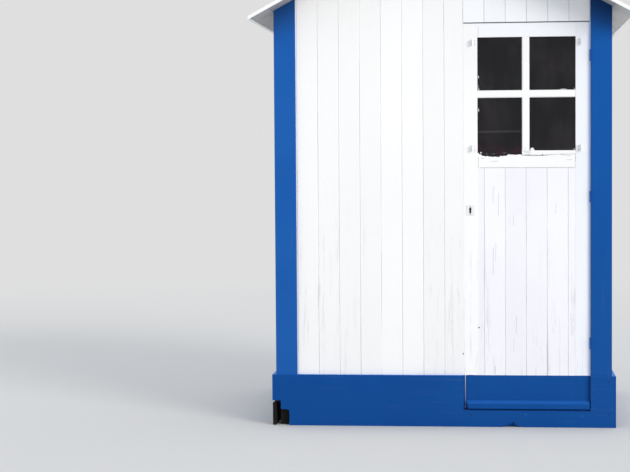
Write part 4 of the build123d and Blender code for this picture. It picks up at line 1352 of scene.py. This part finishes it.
felt_nails = clouts(-1.0) + clouts(1.0)
fix("clout_nails", "nail", felt_nails, 0.0045, clout_zinc, seed=3)
print("clout nails", len(felt_nails))

# %% [markdown]
# ## Flakes, putty and worn marks
# What makes the old paint look old is small: crumbs of putty along the panes, a flake that stands up from
# the sill, grey lines where a rail meets a stile, thin streaks in the door's boards, and a split in one,
# which is a dark sliver of painted shade. A painted shadow line runs under the mid rail. Each is a thin
# ragged sliver, laid on the face between two places read off the picture, so all of them come from lists
# of strokes.

# %% A helper that lays ragged slivers
def slivers(name, strokes, depth, finish, seed, thick):
    """Thin ragged marks; a stroke is two ends, in pixels of the picture, and a width in millimetres."""
    chance = random.Random(seed)
    shape = bmesh.new()
    for x1, y1, x2, y2, width in strokes:
        first, last = Vector(seen_at(x1, y1, depth)), Vector(seen_at(x2, y2, depth))
        along = last - first
        side = along.cross(Vector((0.0, 1.0, 0.0))).normalized() * (width / 2000)
        steps = max(4, int(along.length / 0.0025))
        middle = [first + along * (i / steps) + side * chance.uniform(-0.3, 0.3) for i in range(1, steps)]
        above = [point + side * chance.uniform(0.5, 1.2) for point in middle]
        below = [point - side * chance.uniform(0.5, 1.2) for point in middle]
        outline = [shape.verts.new(point) for point in (first, *above, last, *reversed(below))]
        thicken(shape, shape.faces.new(outline), -thick)
    return keep(new_piece(name, shape, finish), "door", "white_paint")


print("sliver helper ready")


# %% Lay the flakes and the marks
PUTTY = [(478.2, 75.6, 478.9, 78.4, 3.0), (478.0, 85.5, 478.5, 87.4, 2.0), (478.0, 88.4, 479.6, 89.9, 3.5),
         (478.3, 108.2, 478.9, 112.0, 3.0), (559.8, 89.2, 566.4, 89.1, 2.4), (521.8, 62.0, 522.2, 65.0, 2.5),
         (574.0, 87.9, 574.9, 89.4, 3.0), (480.2, 152.0, 481.4, 153.6, 5.0),
         (573.3, 148.8, 575.2, 149.8, 3.5)]
SILL_FLAKE = [(530.2, 149.6, 534.6, 149.9, 9.0), (530.4, 148.4, 533.8, 148.5, 7.0)]
BRIGHT_BITS = [(486.0, 153.6, 487.6, 153.9, 4.0), (492.5, 154.2, 494.6, 153.4, 3.0),
               (503.0, 153.2, 505.5, 152.6, 3.0)]
# The last stroke is a painted shadow under the mid rail; the others are grey joint lines and marks.
RAIL_LINES = [(478.5, 156.6, 478.4, 167.7, 1.6), (575.5, 153.8, 575.4, 162.0, 1.8),
              (575.4, 162.0, 575.5, 167.6, 1.0), (478.3, 27.0, 478.3, 36.0, 1.2),
              (480.8, 158.6, 484.6, 158.5, 1.8), (489.5, 161.4, 499.0, 161.2, 1.4),
              (560.0, 154.4, 571.0, 155.6, 2.2), (566.0, 159.8, 572.5, 159.5, 1.2),
              (523.5, 151.2, 529.0, 150.9, 2.2), (524.5, 152.6, 530.5, 152.1, 1.4),
              (525.2, 147.2, 525.5, 149.0, 2.0), (479.0, 167.7, 575.3, 167.3, 1.6)]
BOARD_STREAKS = [(493.3, 247.0, 493.2, 275.0, 2.6), (493.4, 186.0, 493.0, 203.0, 1.8),
                 (498.7, 193.0, 498.4, 216.0, 1.8), (495.8, 243.0, 495.6, 262.0, 1.4),
                 (513.7, 214.0, 513.5, 226.0, 1.6), (556.0, 203.0, 555.8, 214.0, 1.6),
                 (516.5, 316.0, 516.2, 334.0, 2.0), (514.0, 338.0, 513.8, 352.0, 1.6),
                 (571.5, 318.0, 571.4, 336.0, 1.6)]
# Painted shade: the split in a board is a dark sliver.
SPLIT = [(495.2, 366.0, 495.4, 374.6, 1.2)]
CRACK_HOLE = (542.5, 154.6)
SKIN = 0.00005     # how far a mark's back stands off the face that it lies on
on_glass = GLASS_FRONT - 0.0002
marks = [("putty_crumbs", PUTTY, on_glass, white_level, 41, 0.006),
         ("sill_flake", SILL_FLAKE, FRONT + 0.004, white_level, 42, 0.0035),
         ("paint_flakes_in_the_rot", BRIGHT_BITS, on_glass, weathered_wood, 43, 0.001),
         ("grey_lines", RAIL_LINES, FRONT - SKIN, grey_paint, 44, 0.0003),
         ("board_streaks", BOARD_STREAKS, PANEL_FACE - SKIN, streak_paint, 46, 0.0002),
         ("split_board", SPLIT, PANEL_FACE - SKIN, dark_nail, 45, 0.0002)]
for mark in marks:
    slivers(*mark)
# Painted shade: a dark head for the hole in the crack.
fix("hole_in_the_crack", "nail", [(seen_at(*CRACK_HOLE, FRONT + 0.0004), TO_FRONT)], 0.0026, dark_nail,
    "door")
print("strokes", sum(len(strokes) for _, strokes, *_ in marks))

# %% [markdown]
# ## Metalwork and glass
# The four clips beside the window once held a shutter. They, the key plate and the hinges keep their
# imported shapes: small folded plates need no more than a softened arris, two screws, and paint that has
# rusted through in spots. The panes stay as they are too, in dusty glass. No hinge can be made out in the
# picture, and none shades the stile beside it, so the painted hinges throw no shadow. The keyhole gets a
# black lining, a little taller than its bore, as painted shade of the hole, the way keyholes look dark
# from a few steps away.

# %% Finish the metalwork
CLIP_Z = (WINDOW_TOP - 0.025, WINDOW_FOOT + 0.013)
KEY_X, KEY_Z, LOCK_X = 0.141, 1.084, 0.155
ON_PLATE = FRONT - 0.0021          # the face of the clips and of the key plate
eased("shutter_clips", 0.0005, clip_steel, "door", "painted_steel")
eased("key_plate", 0.0003, key_steel, "door", "painted_steel")
clip_screws = [((edge + side * 0.0135, ON_PLATE, z + off), TO_FRONT) for z in CLIP_Z
               for edge, side in ((WINDOW_L, -1), (WINDOW_R, 1)) for off in (-0.008, 0.008)]
key_screws = [((KEY_X, ON_PLATE, KEY_Z + off), TO_FRONT) for off in (-0.021, 0.0215)]
lock_screws = [((LOCK_X + x, FRONT + 0.0462, KEY_Z + z), TO_BACK)
               for x in (-0.015, 0.015) for z in (-0.039, 0.039)]
fix("clip_screws", "screw", clip_screws, 0.0026, grey_paint, "door", seed=7)
fix("key_plate_screws", "screw", key_screws, 0.0020, screw_steel, "door", seed=9)
# Painted shade: a black lining round the keyhole, a little taller than its bore.
KEYHOLE = [(-0.0040, -0.0130), (0.0040, -0.0130), (0.0052, 0.006), (0.0036, 0.0135), (-0.0036, 0.0135),
           (-0.0052, 0.006)]
keyhole = [(KEY_X + 0.0005 + x, KEY_Z + 0.002 + z) for x, z in KEYHOLE]
lining = prism("keyhole_lining", keyhole, FRONT - 0.0024, FRONT - 0.0004, keyhole_black, 0.0002)
keep(lining, "door", "painted_steel")
fix("lock_screws", "screw", lock_screws, 0.0032, screw_steel, "door", seed=10)


def finish_nodes(finish, *names):
    """Gives CAD nodes that stay a finish of their own."""
    for name in names:
        slots = nodes[name].material_slots
        if not slots:
            nodes[name].data.materials.append(finish)
        for taken in slots:
            taken.material = finish


finish_nodes(hinge_steel, "door_hinges_fixed", "door_hinges_moving")
finish_nodes(lock_iron, "door_lock")
finish_nodes(pane_glass, "window_panes")
for name in ("door_hinges_fixed", "door_hinges_moving"):
    nodes[name].visible_shadow = False
print("screws", len(clip_screws) + len(key_screws) + len(lock_screws))

# %% [markdown]
# ## The inside
# Posts, plates, rafters and rails are sawn softwood, seen through the open door and faintly through the
# panes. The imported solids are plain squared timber, as the real ones are, so each takes a wood whose grain
# runs along it.

# %% Finish the framing
finish_nodes(wood_upright, "wall_posts")
finish_nodes(wood_across, "floor_bearers", "wall_rails", "rafters")
finish_nodes(wood_deep, "wall_plates", "ridge_beam")
eased("door_posts", 0.0010, white_upright)
eased("door_head", 0.0010, white_level)
for head_shape in heads.values():
    bpy.data.objects.remove(head_shape)
shown = [o.name for o in bpy.data.objects if o.type == "MESH" and not o.hide_render]
print("visible pieces", len(shown))
